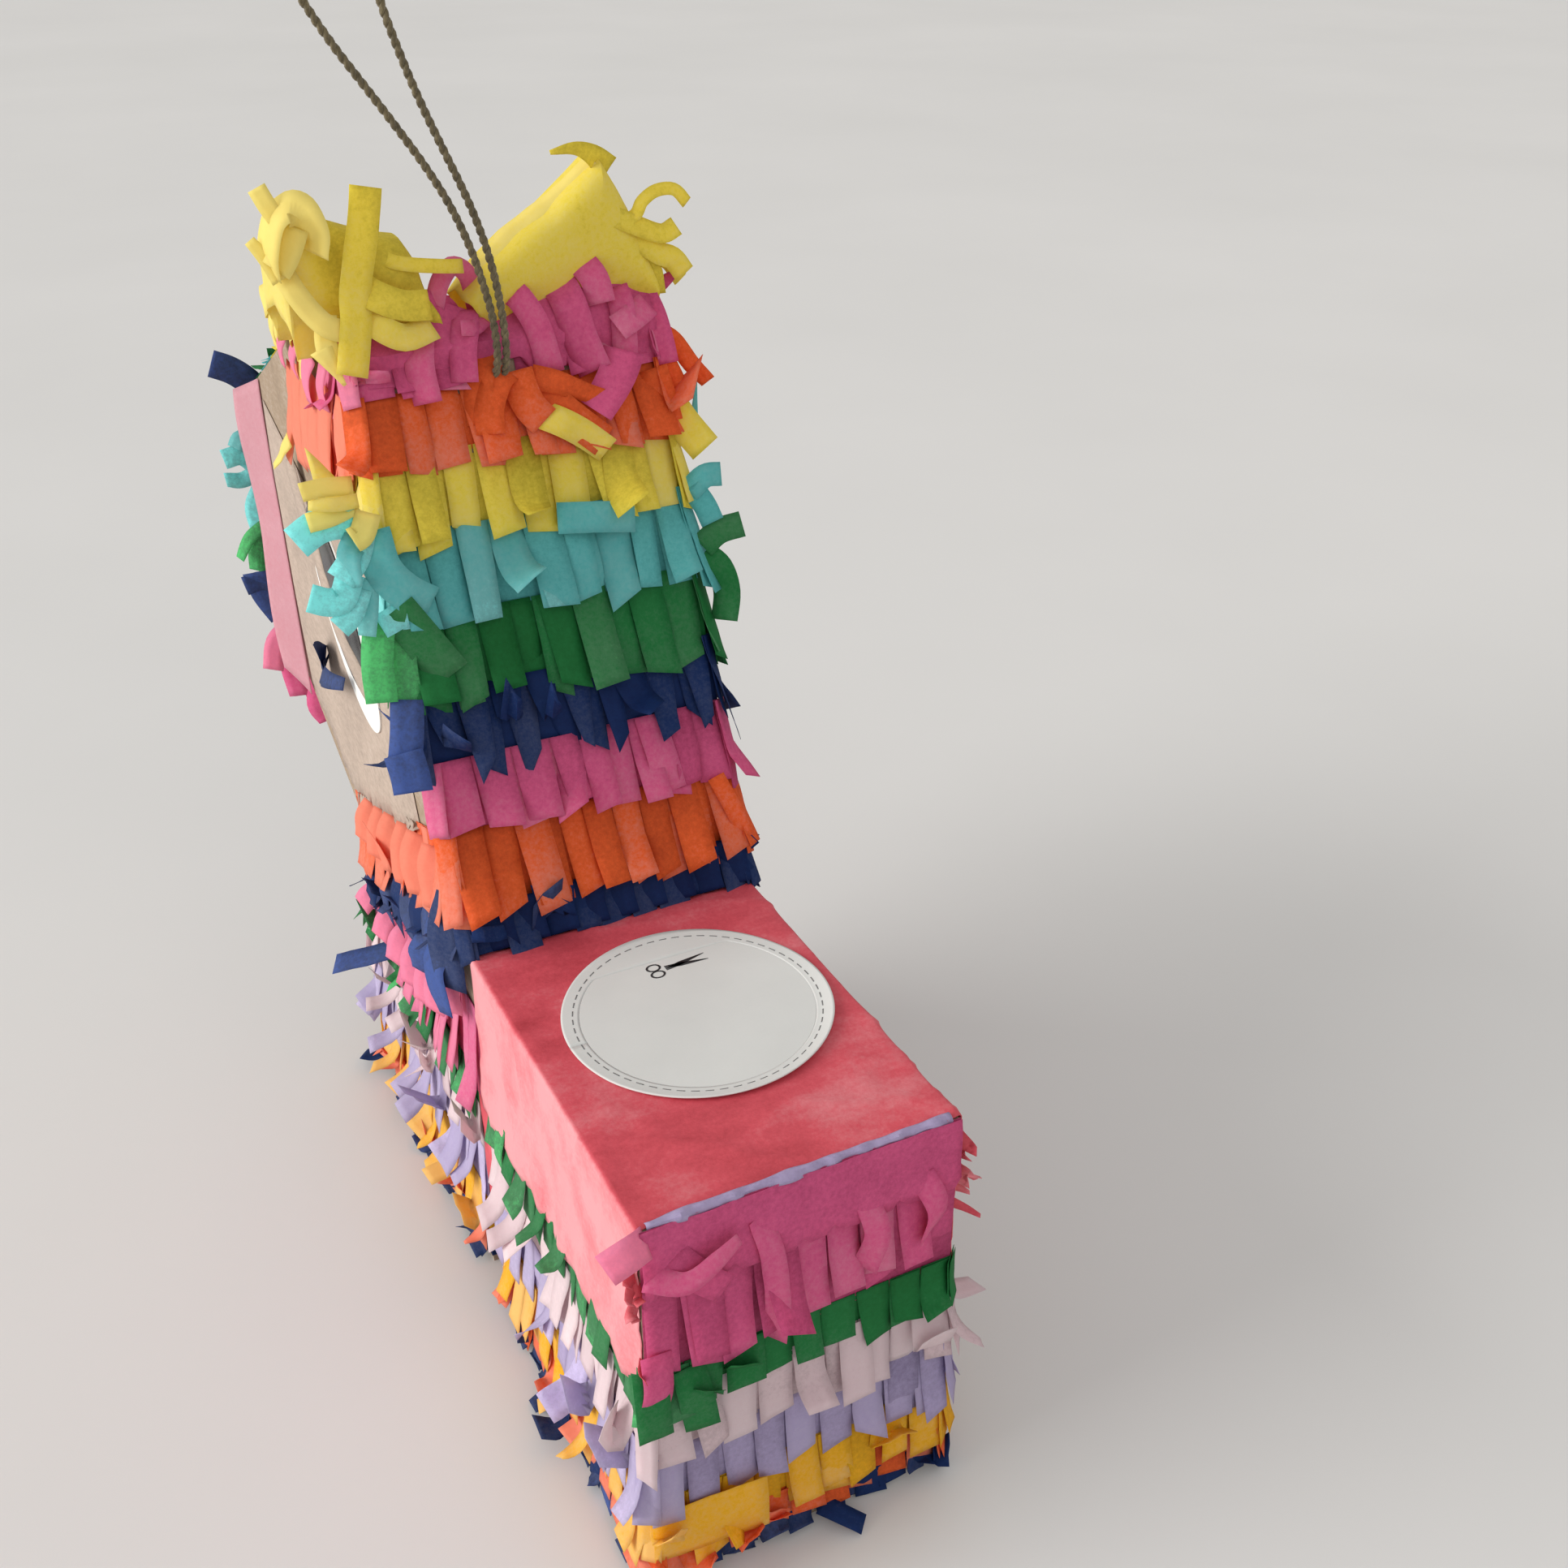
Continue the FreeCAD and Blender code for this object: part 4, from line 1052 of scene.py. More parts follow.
# For each piece: places along a strip (across, station, height), width, tint and, where it
# differs from the usual, how it tapers, rolls or faces.
LOOSE_STRIPS = {
    "ear_left": [
        (
            [
                (29.3, 126, 284.8), (31, 127, 277), (33, 127.5, 270), (34.5, 126.5, 262),
                (35.7, 128.5, 255), (38.6, 131.5, 245),
            ],
            7.4, 0.55, {"face": (-0.1, 0.95, 0.3)},
        ),
        ([(52.1, 122, 285.7), (50.6, 123.5, 282), (48.4, 124, 278), (46.5, 121, 274)], 4.2, 0.72),
        (
            [
                (51.6, 122, 267), (51.8, 124, 273), (50, 125, 279), (46.8, 126, 281.8),
                (43.6, 127, 280), (42, 127.5, 275.5), (42.2, 127, 271.5),
            ],
            8.2, 0.72, {"face": (0.75, 0.45, 0.55)},
        ),
        ([(46, 125, 277.5), (48.4, 125.5, 272.5), (51, 125, 268.5)], 7, 0.62),
        ([(27, 121, 269), (23.5, 123, 267), (15, 124, 265.6), (8.1, 124, 264.9)], 3.3, 0.55),
        ([(32.6, 122, 263), (30.5, 127, 261.4), (24.4, 128, 258.6), (17.6, 126.5, 257.6)], 7, 0.42),
        ([(33, 123, 257), (31, 128, 254.9), (25.2, 130, 251.8), (17.6, 127.6, 252.8)], 6.2, 0.66),
        (
            [
                (49.3, 122, 268), (47.6, 125, 263.6), (44.9, 127, 259), (41.8, 128.4, 255.8),
                (37.4, 128, 254),
            ],
            5.2, 0.68,
        ),
        ([(44, 127.6, 251), (42.6, 129.6, 247.6), (40.4, 131.2, 243)], 5.6, 0.66, THIN),
        ([(41.6, 126, 258), (42.8, 128, 252), (42.2, 129.2, 248)], 5, 0.45),
        ([(55, 121, 274.6), (52.4, 123, 270.6), (50, 124, 266)], 2.6, 0.65, {"taper": 1.6}),
    ],
    "ear_right": [
        ([(-31.5, 118, 282), (-27, 119.5, 286), (-22, 120.5, 288), (-15.8, 121, 287.6)], 7, 0.3, THIN),
        (
            [
                (-31, 122.5, 270), (-35.4, 124, 272.4), (-37.4, 124, 275.4), (-41.6, 123, 277.4),
                (-46.6, 122, 277), (-50.4, 121, 273.4),
            ],
            3.1, 0.5,
        ),
        ([(-29.8, 123.6, 272.6), (-36.8, 124.5, 269.4), (-42.4, 124, 267.4), (-46.6, 123, 268.6)], 4.8, 0.5),
        ([(-35, 123.5, 268), (-40.4, 124.4, 263.4), (-45, 124, 261.2), (-48.6, 123, 256.8)], 5.6, 0.56),
        ([(-37.8, 123.5, 265), (-40.6, 124, 259.6), (-41.6, 124, 253)], 2.4, 0.25),
        ([(-41, 121, 262), (-46, 119, 259), (-50, 117, 254)], 4, 0.5),
    ],
    "crown": [
        (
            [(3.5, 117, 252), (5.5, 118.5, 261), (9.5, 119.5, 264), (13, 120, 260.5), (15, 120.5, 255)],
            4.6, 0.7,
        ),
        ([(10, 118, 251), (13, 120, 255), (17, 121, 256.5)], 6, 0.35),
    ],
    "neck_pink": [
        ([(-2.6, 121, 257.6), (-4.4, 125.5, 256.4), (-7.6, 128.4, 249.6), (-9.2, 131.6, 239.4)], 6.4, 0.55),
        (
            [(-15.4, 121, 259), (-16.4, 126.6, 254), (-17.8, 129.2, 246.4), (-20.2, 132, 238.6)],
            8.4, 0.52, {"roll": 0.25},
        ),
        ([(-21.4, 122, 262.8), (-23.4, 126, 259), (-24.3, 127.6, 253.4)], 7, 0.62),
        ([(-36.4, 128, 252), (-31.4, 130, 249.8), (-26.8, 131, 248)], 6.6, 0.68),
        ([(-29.4, 124, 256), (-29.4, 128.2, 252), (-29, 130, 246), (-28.2, 132, 240)], 6.2, 0.6),
        (
            [(-27.6, 132.5, 243), (-25.6, 134.4, 239.4), (-22.6, 136, 235.6), (-17.6, 137.8, 230.6)],
            10, 0.5, {"taper": 0.85},
        ),
        ([(-37.4, 122, 254), (-38.4, 126.5, 249), (-39.2, 128.8, 243.4), (-39.6, 131, 237.6)], 6, 0.48),
        ([(8, 121, 254), (9.6, 126.4, 251.4), (11.4, 129, 246.6), (12.4, 131.4, 240)], 6.4, 0.5),
        ([(4, 124, 252), (7.6, 127.6, 251.4), (11.4, 128.6, 252)], 3.6, 0.62),
        ([(20, 121, 252), (21, 126.4, 250), (22.4, 130, 244), (22, 132.6, 236.6)], 7, 0.6, {"roll": 0.3}),
        ([(-42, 121, 254), (-46, 120.5, 256), (-48.4, 120, 257.5)], 4, 0.3, THIN),
        ([(41, 72, 240), (42, 70, 236), (41.4, 69, 231)], 4, 0.62, SIDE),
        ([(41, 86, 241), (42.4, 85, 237), (41.6, 83, 232.6)], 5, 0.66, SIDE),
        ([(41, 101, 242), (42.6, 99, 237), (42, 98, 229)], 6, 0.7, SIDE),
        ([(41, 113, 243), (42.4, 113, 237), (41.6, 113, 232)], 5, 0.6, SIDE),
    ],
    "neck_orange": [
        ([(5.4, 126.6, 245.6), (7.8, 129.4, 241.6), (9.4, 131.4, 236), (9.8, 133.6, 230)], 7, 0.4),
        ([(-0.4, 131, 241), (-0.6, 133.8, 237), (-2, 135.4, 233), (-4.8, 136.6, 229.6)], 8, 0.55),
        (
            [(-3.6, 132.6, 239.4), (-9, 135, 238.2), (-15, 136, 235.4), (-21.9, 135.8, 232.6)],
            6.4, 0.4, {"roll": 0.6, "taper": 0.6},
        ),
        ([(-4.6, 132.6, 238.6), (-8.4, 135.4, 233), (-13, 137.6, 228.4), (-19, 138.6, 223)], 8, 0.5),
        ([(1.6, 130.5, 241.4), (4.6, 132, 239.6), (7.6, 133.4, 233.6), (8.4, 135.6, 228)], 7, 0.45),
        (
            [(-39, 127, 245), (-42.6, 128.6, 242.4), (-46.2, 131, 236.6), (-50, 132.7, 232.1)],
            4.6, 0.5, {"roll": 1.0},
        ),
        ([(-39, 130, 239), (-41.4, 132, 234), (-43.4, 133.5, 229.4)], 5.4, 0.45, {"taper": 0.6}),
        ([(-35.7, 131.3, 237), (-36.9, 133.6, 230.6), (-37.6, 136, 224.4)], 7, 0.5),
        ([(40.2, 124.5, 238), (41.6, 124.4, 227.8), (41.4, 121.4, 215.5)], 8.4, 0.62, SIDE),
        ([(40.4, 112, 237), (42.4, 109.8, 224.1), (42, 106.2, 211.3)], 9, 0.7, SIDE),
        ([(40.4, 101, 236), (42.2, 98, 222), (41.4, 95, 209)], 9, 0.66, SIDE),
        ([(40.4, 91, 235), (42, 88, 220), (41.4, 85.6, 207.6)], 8.4, 0.7, SIDE),
        ([(40.2, 80, 234), (41.8, 77.6, 218), (41.6, 76, 206)], 8, 0.62, SIDE),
        (
            [(40.2, 72, 232), (41.6, 69.4, 216), (43, 66, 204.6)],
            7.4, 0.6, {"face": (1, 0.1, 0.1), "taper": 0.6},
        ),
    ],
    "neck_yellow": [
        (
            [(-4.4, 135, 231), (-9, 138, 229), (-14, 138.6, 225.6), (-19.5, 139.6, 221)],
            7, 0.66, {"roll": 0.5},
        ),
        ([(-38.6, 133.6, 229), (-41.6, 136, 223.5), (-46.2, 138.6, 217)], 8.4, 0.62),
        ([(43, 137.4, 221.6), (49.5, 137.4, 222.2), (55, 137.8, 222)], 4.4, 0.45),
        ([(43, 138.6, 217.6), (49.3, 140.4, 216.2), (54.9, 140.1, 215.4)], 4.6, 0.6),
        ([(42.6, 139.3, 218.6), (48.1, 140.4, 218.8), (54, 139, 219.4)], 3.4, 0.35, {"roll": 0.8}),
        ([(41, 141, 216), (43.6, 143.4, 212), (46, 144, 211)], 6, 0.55),
        ([(43, 71, 212), (44.6, 66, 207), (46, 60, 201.5)], 4.2, 0.62, {"face": (1, 0.1, 0.1), "taper": 0.4}),
    ],
    "neck_cyan": [
        ([(44, 139.6, 212.6), (48, 140.4, 214.6), (53, 140, 214), (58.4, 141, 211.4)], 8, 0.72),
        ([(47.6, 144, 203), (50.6, 146.4, 198.4), (54, 146.4, 198), (58, 145.6, 199.6)], 6.6, 0.74),
        ([(42.4, 140.4, 214.6), (45.7, 143.7, 207.3), (50.3, 145.3, 202.4)], 7, 0.62),
        ([(41.4, 142.6, 212), (40.6, 146.6, 204), (36.6, 149.4, 198.4), (31, 149.9, 194.2)], 9, 0.66),
        ([(46.3, 146.4, 200), (49.4, 148.5, 195), (52.9, 149.2, 192.4)], 5.6, 0.6),
        ([(44.1, 145.7, 202), (45.6, 148.5, 195.2), (47, 150.4, 189.6)], 5, 0.3, {"roll": 0.7}),
        ([(33.8, 148.5, 196), (38.9, 150, 193), (43.4, 149.8, 191)], 6, 0.68),
        ([(44.6, 141.6, 210.4), (47.6, 144.4, 207), (47.4, 146.6, 200.6)], 6, 0.2, {"roll": 1.2}),
        ([(-3.6, 144.6, 207.9), (-13.6, 146, 207), (-23.4, 145.6, 205.2)], 7.6, 0.66),
        ([(-39.6, 142.4, 208), (-44, 142.6, 211.4), (-48.9, 142, 211)], 6, 0.62),
        ([(-40.4, 142.2, 209), (-43, 144.2, 204.6), (-44.6, 145.8, 200)], 6, 0.45),
        ([(-44.5, 135.4, 219.4), (-46, 133, 226), (-47.6, 130.8, 231.8)], 2.6, 0.6, THIN),
    ],
    "neck_green": [
        ([(39.4, 149.6, 194.6), (35, 153, 187.4), (29.4, 156, 178)], 9.6, 0.74),
        ([(43.2, 148.2, 192), (45.8, 152.2, 183.4), (46.6, 155.3, 174.2)], 7.6, 0.7),
        ([(38.8, 149.4, 191), (40, 153, 181.6), (40.6, 156.4, 172.4)], 6.6, 0.6),
        ([(-41, 147, 194.6), (-46, 146.4, 197.6), (-52.4, 146.8, 198.6)], 6.6, 0.72),
        (
            [(-41, 147.6, 192.6), (-44.6, 149.4, 189), (-45.6, 151.6, 183), (-43.4, 154.4, 176.6)],
            7, 0.62, {"roll": 0.4},
        ),
    ],
    "neck_navy": [
        ([(41, 156.6, 174.4), (42.6, 159.6, 167.5), (44.2, 161.5, 161.6)], 8, 0.66),
        ([(44.6, 161.8, 163.4), (44.2, 164.2, 158.4), (44.2, 165.6, 154.4)], 9.4, 0.72),
    ],
    "neck_orange_low": [
        ([(-33, 170.1, 141), (-36, 173.6, 133), (-38.6, 176.4, 124.4)], 4.6, 0.55),
        ([(39, 161, 135), (41.6, 162.4, 129), (41.4, 163, 118)], 8, 0.56, SIDE_REAR),
        ([(39, 148, 131), (42, 149, 125), (41.8, 150, 114.5)], 9, 0.6, SIDE_REAR),
        ([(39, 136, 127), (42, 136.4, 120), (42.4, 137, 110)], 8, 0.5, SIDE_REAR),
        ([(39, 123, 122), (42, 123, 116), (41.8, 124, 106)], 9, 0.58, SIDE_REAR),
        ([(39, 110, 117), (41.6, 109, 111), (42.6, 108, 102)], 8, 0.5, SIDE_REAR),
        ([(39, 97, 112), (41.6, 95, 107), (42.4, 93, 99)], 8, 0.56, SIDE_REAR),
    ],
    "neck_navy_low": [
        ([(-32.6, 174.4, 125.4), (-36.4, 175.6, 124.4), (-40, 176.4, 120)], 6, 0.5),
        ([(-31.4, 175, 124), (-34.6, 177.6, 119), (-37.2, 178.4, 114.6)], 6, 0.45),
        *[
            ([(x, 174.8, 124), (x + 0.8, 177.4, 118.6), (x + 0.3, 179.6, 113.1)], 9.4, 0.1 + 0.1 * (x % 3))
            for x in range(-34, 38, 8)
        ],
        ([(38.6, 171, 126), (42.6, 172, 116), (42.4, 174, 101)], 10, 0.3, SIDE_REAR),
        ([(39.4, 160, 121), (43.4, 160.6, 111), (42.4, 163, 97)], 10, 0.55, SIDE),
        ([(39.4, 149, 117), (43, 148, 107), (42.8, 147, 95)], 9.6, -0.1, SIDE),
        ([(39.4, 138, 113), (43.4, 137, 102), (42, 136, 91)], 9, 0.45, SIDE),
        ([(39.4, 127, 108), (43, 126, 99), (42.6, 123, 88)], 9, 0.1, SIDE),
        ([(39.4, 115, 103), (43.4, 114, 95), (42.4, 112, 84)], 8.4, 0.5, SIDE),
        ([(39.4, 103, 99), (43, 101, 91), (44, 98, 82)], 8, 0.0, SIDE),
        ([(41, 168, 112), (45.4, 169, 105), (44.4, 173, 93)], 8, 0.7, {"face": (1, 0.5, 0.3), "roll": 0.5}),
        ([(41, 153, 106), (45, 153, 99), (43.6, 150, 91)], 7, 0.62, {"face": (1, 0.4, 0.2), "roll": -0.5}),
    ],
    "face_left": [
        (
            [
                (40.4, 52, 201), (40.8, 62, 188), (41, 74.6, 180), (41.2, 85, 169.6), (41, 97, 161),
                (39.6, 111, 154),
            ],
            6.4, 0.55, SIDE,
        ),
    ],
    "head_navy": [
        ([(37, 0.5, 204.6), (39.4, -1.6, 207.6), (43.4, -1.8, 210.9), (48.6, -1.4, 213.6)], 8, 0.5),
        ([(45.6, -0.4, 147), (43.8, -1, 139.3), (39.6, 0, 131)], 8.4, 0.62),
        ([(38.4, 2, 142), (44, -1, 143.6), (49.6, -0.5, 143)], 6, 0.5),
        (
            [(39, 57, 139.4), (42.6, 67, 141.4), (43.4, 78, 144.4), (41.4, 90, 148)],
            8, 0.4, {"face": (1, 0.1, 0.4), "taper": 0.45},
        ),
        (
            [(39, 57.6, 142), (42, 64, 146), (43.4, 70, 147.4)],
            6, 0.1, {"face": (1, 0.1, 0.2), "taper": 1.5, "roll": 0.6},
        ),
    ],
    "head_cyan": [
        ([(39.6, 0, 180), (44, -1.6, 184.6), (49.6, -1, 184.4)], 6, 0.62),
        ([(40, -1, 179), (45, -2, 176.8), (50, -1, 178)], 5, 0.55, {"roll": 0.8}),
        ([(40, 0, 175), (43, -2, 168), (42.6, -1, 161)], 5, 0.6),
        ([(40, 0, 188), (43.4, -1.6, 190), (45.6, -1.6, 187)], 5, 0.35),
    ],
    "head_green": [
        ([(41, 0, 162), (46, -1, 158), (49.6, -1, 152)], 4, 0.62, {"roll": 0.9}),
        ([(41, 0, 160), (44.6, -1.6, 154), (45.8, -1, 147.6)], 4, 0.55, {"roll": 0.7}),
        ([(39.4, -0.5, 160), (41.4, -2, 152), (42, -1, 145)], 5, 0.5),
    ],
    "head_pink": [
        ([(37, -0.5, 127), (42.6, -1.6, 121.6), (45, -1, 112.4)], 6.6, 0.62),
        ([(35.6, -0.6, 123), (39, -2, 113.4), (38, -0.6, 101.6)], 7, 0.6, {"roll": 0.4}),
        ([(30.6, 0, 127.2), (32.4, -1.6, 115), (33, -1, 104), (30.4, 0.6, 95)], 7, 0.5),
        ([(32.4, 18.6, 119.8), (34, 19, 114), (36, 20, 107.6), (33.6, 21, 101.8)], 8, 0.5, {"roll": 0.6}),
        ([(26.4, 22, 118.2), (28, 22, 111), (30, 22, 105.4), (28, 21, 101)], 6, 0.4),
    ],
    "rump": [
        (
            [(11.6, 283.4, 106), (9.6, 285.8, 97), (8.6, 286.6, 84), (8.9, 286, 71)],
            5.6, 0.6, {"face": (0, 1, 0.1), "roll": 1.3},
        ),
        (
            [(37.4, 283.4, 101), (30, 287, 99), (23, 287.6, 103), (17.4, 286, 105)],
            6, 0.62, {"face": (0.1, 0.9, 0.5), "taper": 0.5, "roll": 0.5},
        ),
        ([(31, 283.6, 104), (26, 286.4, 98), (21, 286.8, 93)], 7, 0.35, REAR),
        ([(36.6, 283, 110), (41, 284.6, 110), (46, 284, 107.4)], 7.4, 0.6),
        ([(-14, 283.6, 100), (-15.4, 287, 92), (-13, 286, 82)], 6, 0.6, {"face": (0, 1, 0.1), "roll": 1.1}),
        (
            [(-28, 283.6, 101), (-30.6, 287, 93), (-28, 286.4, 84)],
            6, 0.56, {"face": (0, 1, 0.1), "roll": -1.0},
        ),
        ([(36, 284, 78), (36.4, 286, 70), (37.6, 285.6, 63)], 7, 0.5, REAR),
    ],
    "rear_green": [
        ([(37.6, 283.6, 74), (38, 286, 66), (37.6, 286.6, 55.4)], 8, 0.6, REAR),
        ([(28.6, 283.6, 70), (28, 286.4, 63), (26.6, 286.6, 53)], 8, 0.6, {"face": (0, 1, 0.1), "roll": 0.4}),
    ],
    "rear_yellow": [
        (
            [(25, 285.4, 27.5), (25, 286.4, 21), (25, 286.6, 12.4)],
            28, 0.62, {"face": (0.1, 1, 0.1), "columns": 9},
        ),
    ],
    "rear_navy": [
        ([(-4.6, 284, 5), (-8, 288, 4.4), (-12.6, 291.6, 1.6)], 5, 0.5, {"face": (0, 0.4, 1)}),
    ],
    "front_pink": [
        ([(39, 168, 106), (42.4, 168, 100), (42, 169, 90)], 8, 0.66, SIDE_REAR),
        ([(39, 158, 98), (42.4, 158, 91), (43, 157, 82)], 8, 0.6, SIDE_REAR),
        ([(39, 146, 92), (42.4, 146, 86), (43.6, 145, 77)], 7, 0.7, SIDE_REAR),
        ([(39, 133, 88), (42.4, 133, 82), (43, 132, 74)], 8, 0.6, SIDE_REAR),
        ([(39, 120, 84), (42.4, 119, 80), (44, 118, 73)], 7, 0.66, SIDE_REAR),
        ([(39, 106, 82), (42.4, 105, 78), (44, 103, 72)], 7, 0.6, SIDE_REAR),
        ([(39, 90, 80), (42.4, 88, 77), (44.6, 86, 73)], 7, 0.66, SIDE_REAR),
    ],
    "front_navy": [
        ([(39, 96, 62), (46, 92, 59), (55, 86, 55)], 7.4, 0.6, {"face": (0.4, 0.2, 1)}),
    ],
}


# ---------------------------------------------------------------- saddle

SADDLE_FRONT, SADDLE_REAR, SADDLE_TOP, SADDLE_LOW = 179, BODY_LENGTH, BACK_HEIGHT, 66
CORNER = 0.6
LABEL_ACROSS, LABEL_STATION = -3, 222.6
CUT_RADIUS, HINGE_REACH = 28.2, 22


def saddle_line(station):
    """Across the saddle from the left flap's lower edge over the top to the right one's, as
    (point, out, height share down a flap)."""
    wave = 2.2 * noise.noise(Vector((station * 0.06, 4.2, 0)))
    low = SADDLE_LOW + wave
    places = []
    drop = SADDLE_TOP - CORNER - low
    half = HALF_WIDTH - CORNER
    for i in range(22):
        share = 1 - i / 22
        places.append((Vector((HALF_WIDTH + 0.3, 0, low + drop * (1 - share))), Vector((1, 0, 0)), share))
    for i in range(5):
        a = math.pi / 2 * i / 4
        out = Vector((math.cos(a), 0, math.sin(a)))
        places.append((Vector((half, 0, SADDLE_TOP - CORNER)) + out * (CORNER + 0.3), out, 0))
    for i in range(1, 37):
        places.append((Vector((half - 2 * half * i / 37, 0, SADDLE_TOP + 0.3)), Vector((0, 0, 1)), 0))
    mirrored = [
        (Vector((-p.x, p.y, p.z)), Vector((-o.x, o.y, o.z)), share) for p, o, share in reversed(places[:27])
    ]
    return places + mirrored


def saddle_wrinkle(point, out, share, station):
    """How far the sheet stands up: ridges and folds, and waves that grow down the sides."""
    here = spot(point.x, station, point.z)
    ridges = 1 - 2 * abs(noise.noise(here / (17 * MM) + Vector((2.0, 0, 0))))
    slanting = Vector((point.x * 0.022 + 3, (station + 0.35 * point.x) * 0.062, point.z * 0.02))
    fold = 1 - 2 * abs(noise.noise(slanting))
    wrinkle = 0.34 * ridges ** 3 + 0.55 * max(0, fold) ** 9 + 0.1 * noise.noise(here / (5 * MM))
    if not share:
        gap = math.hypot(point.x - LABEL_ACROSS, station - LABEL_STATION) - LABEL_RADIUS
        return max(0, wrinkle + 0.08) * smooth((gap - 2) / 7)
    flutter = noise.noise(Vector((station * 0.09, out.x * 5, 1)))
    wrinkle += smooth((share - 0.6) / 0.4) * (0.9 + 1.5 * flutter)
    return wrinkle + 0.35 * math.sin(station * 0.35 + 3 * noise.noise(here / (20 * MM))) * share


def saddle():
    """The coral sheet, with painted light on the left flap (a raised tint that reads paler), and the opening
    under the flap cut out.
    """
    paper = Paper()
    lines = []
    count = 84
    for j in range(count + 1):
        station = SADDLE_FRONT + (SADDLE_REAR - SADDLE_FRONT) * j / count
        edge = min(1, (SADDLE_REAR - station) / 14)
        line = []
        for point, out, share in saddle_line(station):
            proud = max(0.03, saddle_wrinkle(point, out, share, station) + 0.06)
            ragged = 0.8 * noise.noise(Vector((point.x * 0.3, point.z * 0.3, 5))) * (1 - edge)
            line.append(spot(point.x, station, point.z) + out * proud * MM + Vector((0, ragged * MM, 0)))
        lines.append(line)
    # painted light: the left flap, the first part of each line, gets a raised tint and reads paler
    paper.grid(lines, lambda share: 0.5 + 1.2 * smooth((0.29 - share) / 0.03))
    sheet = paper.make("saddle_sheet", PAPER["coral"], "tissue_coral", "saddle_paper", thickness=0.2)
    cut_flap_hole(sheet)


def cut_outline(radius, reach, count=96):
    """Points round the line that is cut: most of a circle and the straight fold in front."""
    half_arc = math.asin(reach / radius)
    start, end = -half_arc, math.pi + half_arc
    return [
        (LABEL_ACROSS + radius * math.cos(a), LABEL_STATION + radius * math.sin(a))
        for a in (start + (end - start) * i / count for i in range(count + 1))
    ]


def cut_flap_hole(piece):
    """Takes the opening under the fill flap out of the saddle's sheet."""
    outline = cut_outline(CUT_RADIUS, HINGE_REACH)
    low = [spot(x, y, SADDLE_TOP - 4) for x, y in outline]
    high = [spot(x, y, SADDLE_TOP + 6) for x, y in outline]
    count = len(outline)
    mesh = bpy.data.meshes.new("cutter")
    sides = [(i, (i + 1) % count, (i + 1) % count + count, i + count) for i in range(count)]
    ends = [tuple(reversed(range(count))), tuple(range(count, 2 * count))]
    mesh.from_pydata(low + high, [], sides + ends)
    cutter = bpy.data.objects.new("cutter", mesh)
    link(cutter)
    knife = piece.modifiers.new("opening", "BOOLEAN")
    knife.object = cutter
    knife.solver = "EXACT"
    bpy.context.view_layer.update()
    graph = bpy.context.evaluated_depsgraph_get()
    result = bpy.data.meshes.new_from_object(piece.evaluated_get(graph))
    piece.modifiers.clear()
    piece.data = result
    bpy.data.objects.remove(cutter)


def saddle_edge_trim():
    """The lavender strip along the saddle's rear edge."""
    trim = Paper()
    lines = []
    for i in range(60):
        x = -36 + 72 * i / 59
        line = []
        for j in range(6):
            a = -0.5 + 2.2 * j / 5
            radius = 1.3 + 1.0 * noise.noise(Vector((x * 0.13, 0, 3)))
            point = spot(x, 281.3 + radius * math.sin(a), 112.7 + radius * (math.cos(a) - 0.4))
            line.append(point + Vector((0, 1, 1)) * crumple(point, 3, 0.6))
        lines.append(line)
    trim.grid(lines, 0.5)
    finish_tissue(trim, "saddle_edge_trim", "lavender")


def girth_strap():
    strap = Paper()
    reach = HALF_WIDTH + 0.45
    outline = [(reach, SADDLE_LOW + 4)] + [(reach, SADDLE_LOW - 4 * i) for i in range(11)]
    outline += [(reach - 0.6, 25.5)]
    outline += [(x, 25.5) for x in range(34, -35, -4)]
    outline += [(-x, z) for x, z in reversed(outline[:13])]
    lines = []
    for j in range(7):
        station = 173.9 + 8.2 * j / 6
        lines.append([
            spot(x * (1 + crumple(spot(x, station, z), 9, 0.012) / MM), station, z) for x, z in outline
        ])
    strap.grid(lines)
    finish_tissue(strap, "girth_strap", "coral")


def saddle_frayed_bits():
    """Torn bits of coral tissue on both rear corners of the saddle."""
    frayed = Paper()
    for side in (1, -1):
        for _ in range(7):
            place = (
                side * around(HALF_WIDTH, 0.4), around(281, 1),
                rng.uniform(66, 104) if side > 0 else rng.uniform(84, 112),
            )
            free_ribbon(
                frayed, place, (side * around(0.8, 0.3), 0.6, around(-0.5, 0.6)), (0, 1, 0.3),
                rng.uniform(4, 8), rng.uniform(2, 5), taper=0.4, twist=rng.gauss(0, 0.8),
                bends=curled(), tint=rng.uniform(0.3, 0.8), steps=5, columns=3,
            )
    frayed.make("saddle_frayed_bits", PAPER["coral"], "tissue_coral")


# ---------------------------------------------------------------- label

LABEL_TOP = 112.8
LABEL_RADIUS = 32.2
PRINT_RISE = 0.03
RIM_INNER, RIM_CHORD = 27.95, 21.75


def rim_rise(radius, turn):
    """How far the label's edge has curled up from the saddle, in millimetres."""
    curl = 0.15 + 1.1 * max(0, math.sin(turn - 0.5)) + 0.12 * math.sin(3 * turn)
    return curl * max(0, (radius - 28.6) / 3.6) ** 1.3


def label_place(radius, turn, above=0.0):
    x = LABEL_ACROSS + radius * math.cos(turn)
    y = LABEL_STATION + radius * math.sin(turn)
    return spot(x, y, LABEL_TOP + rim_rise(radius, turn) + above)


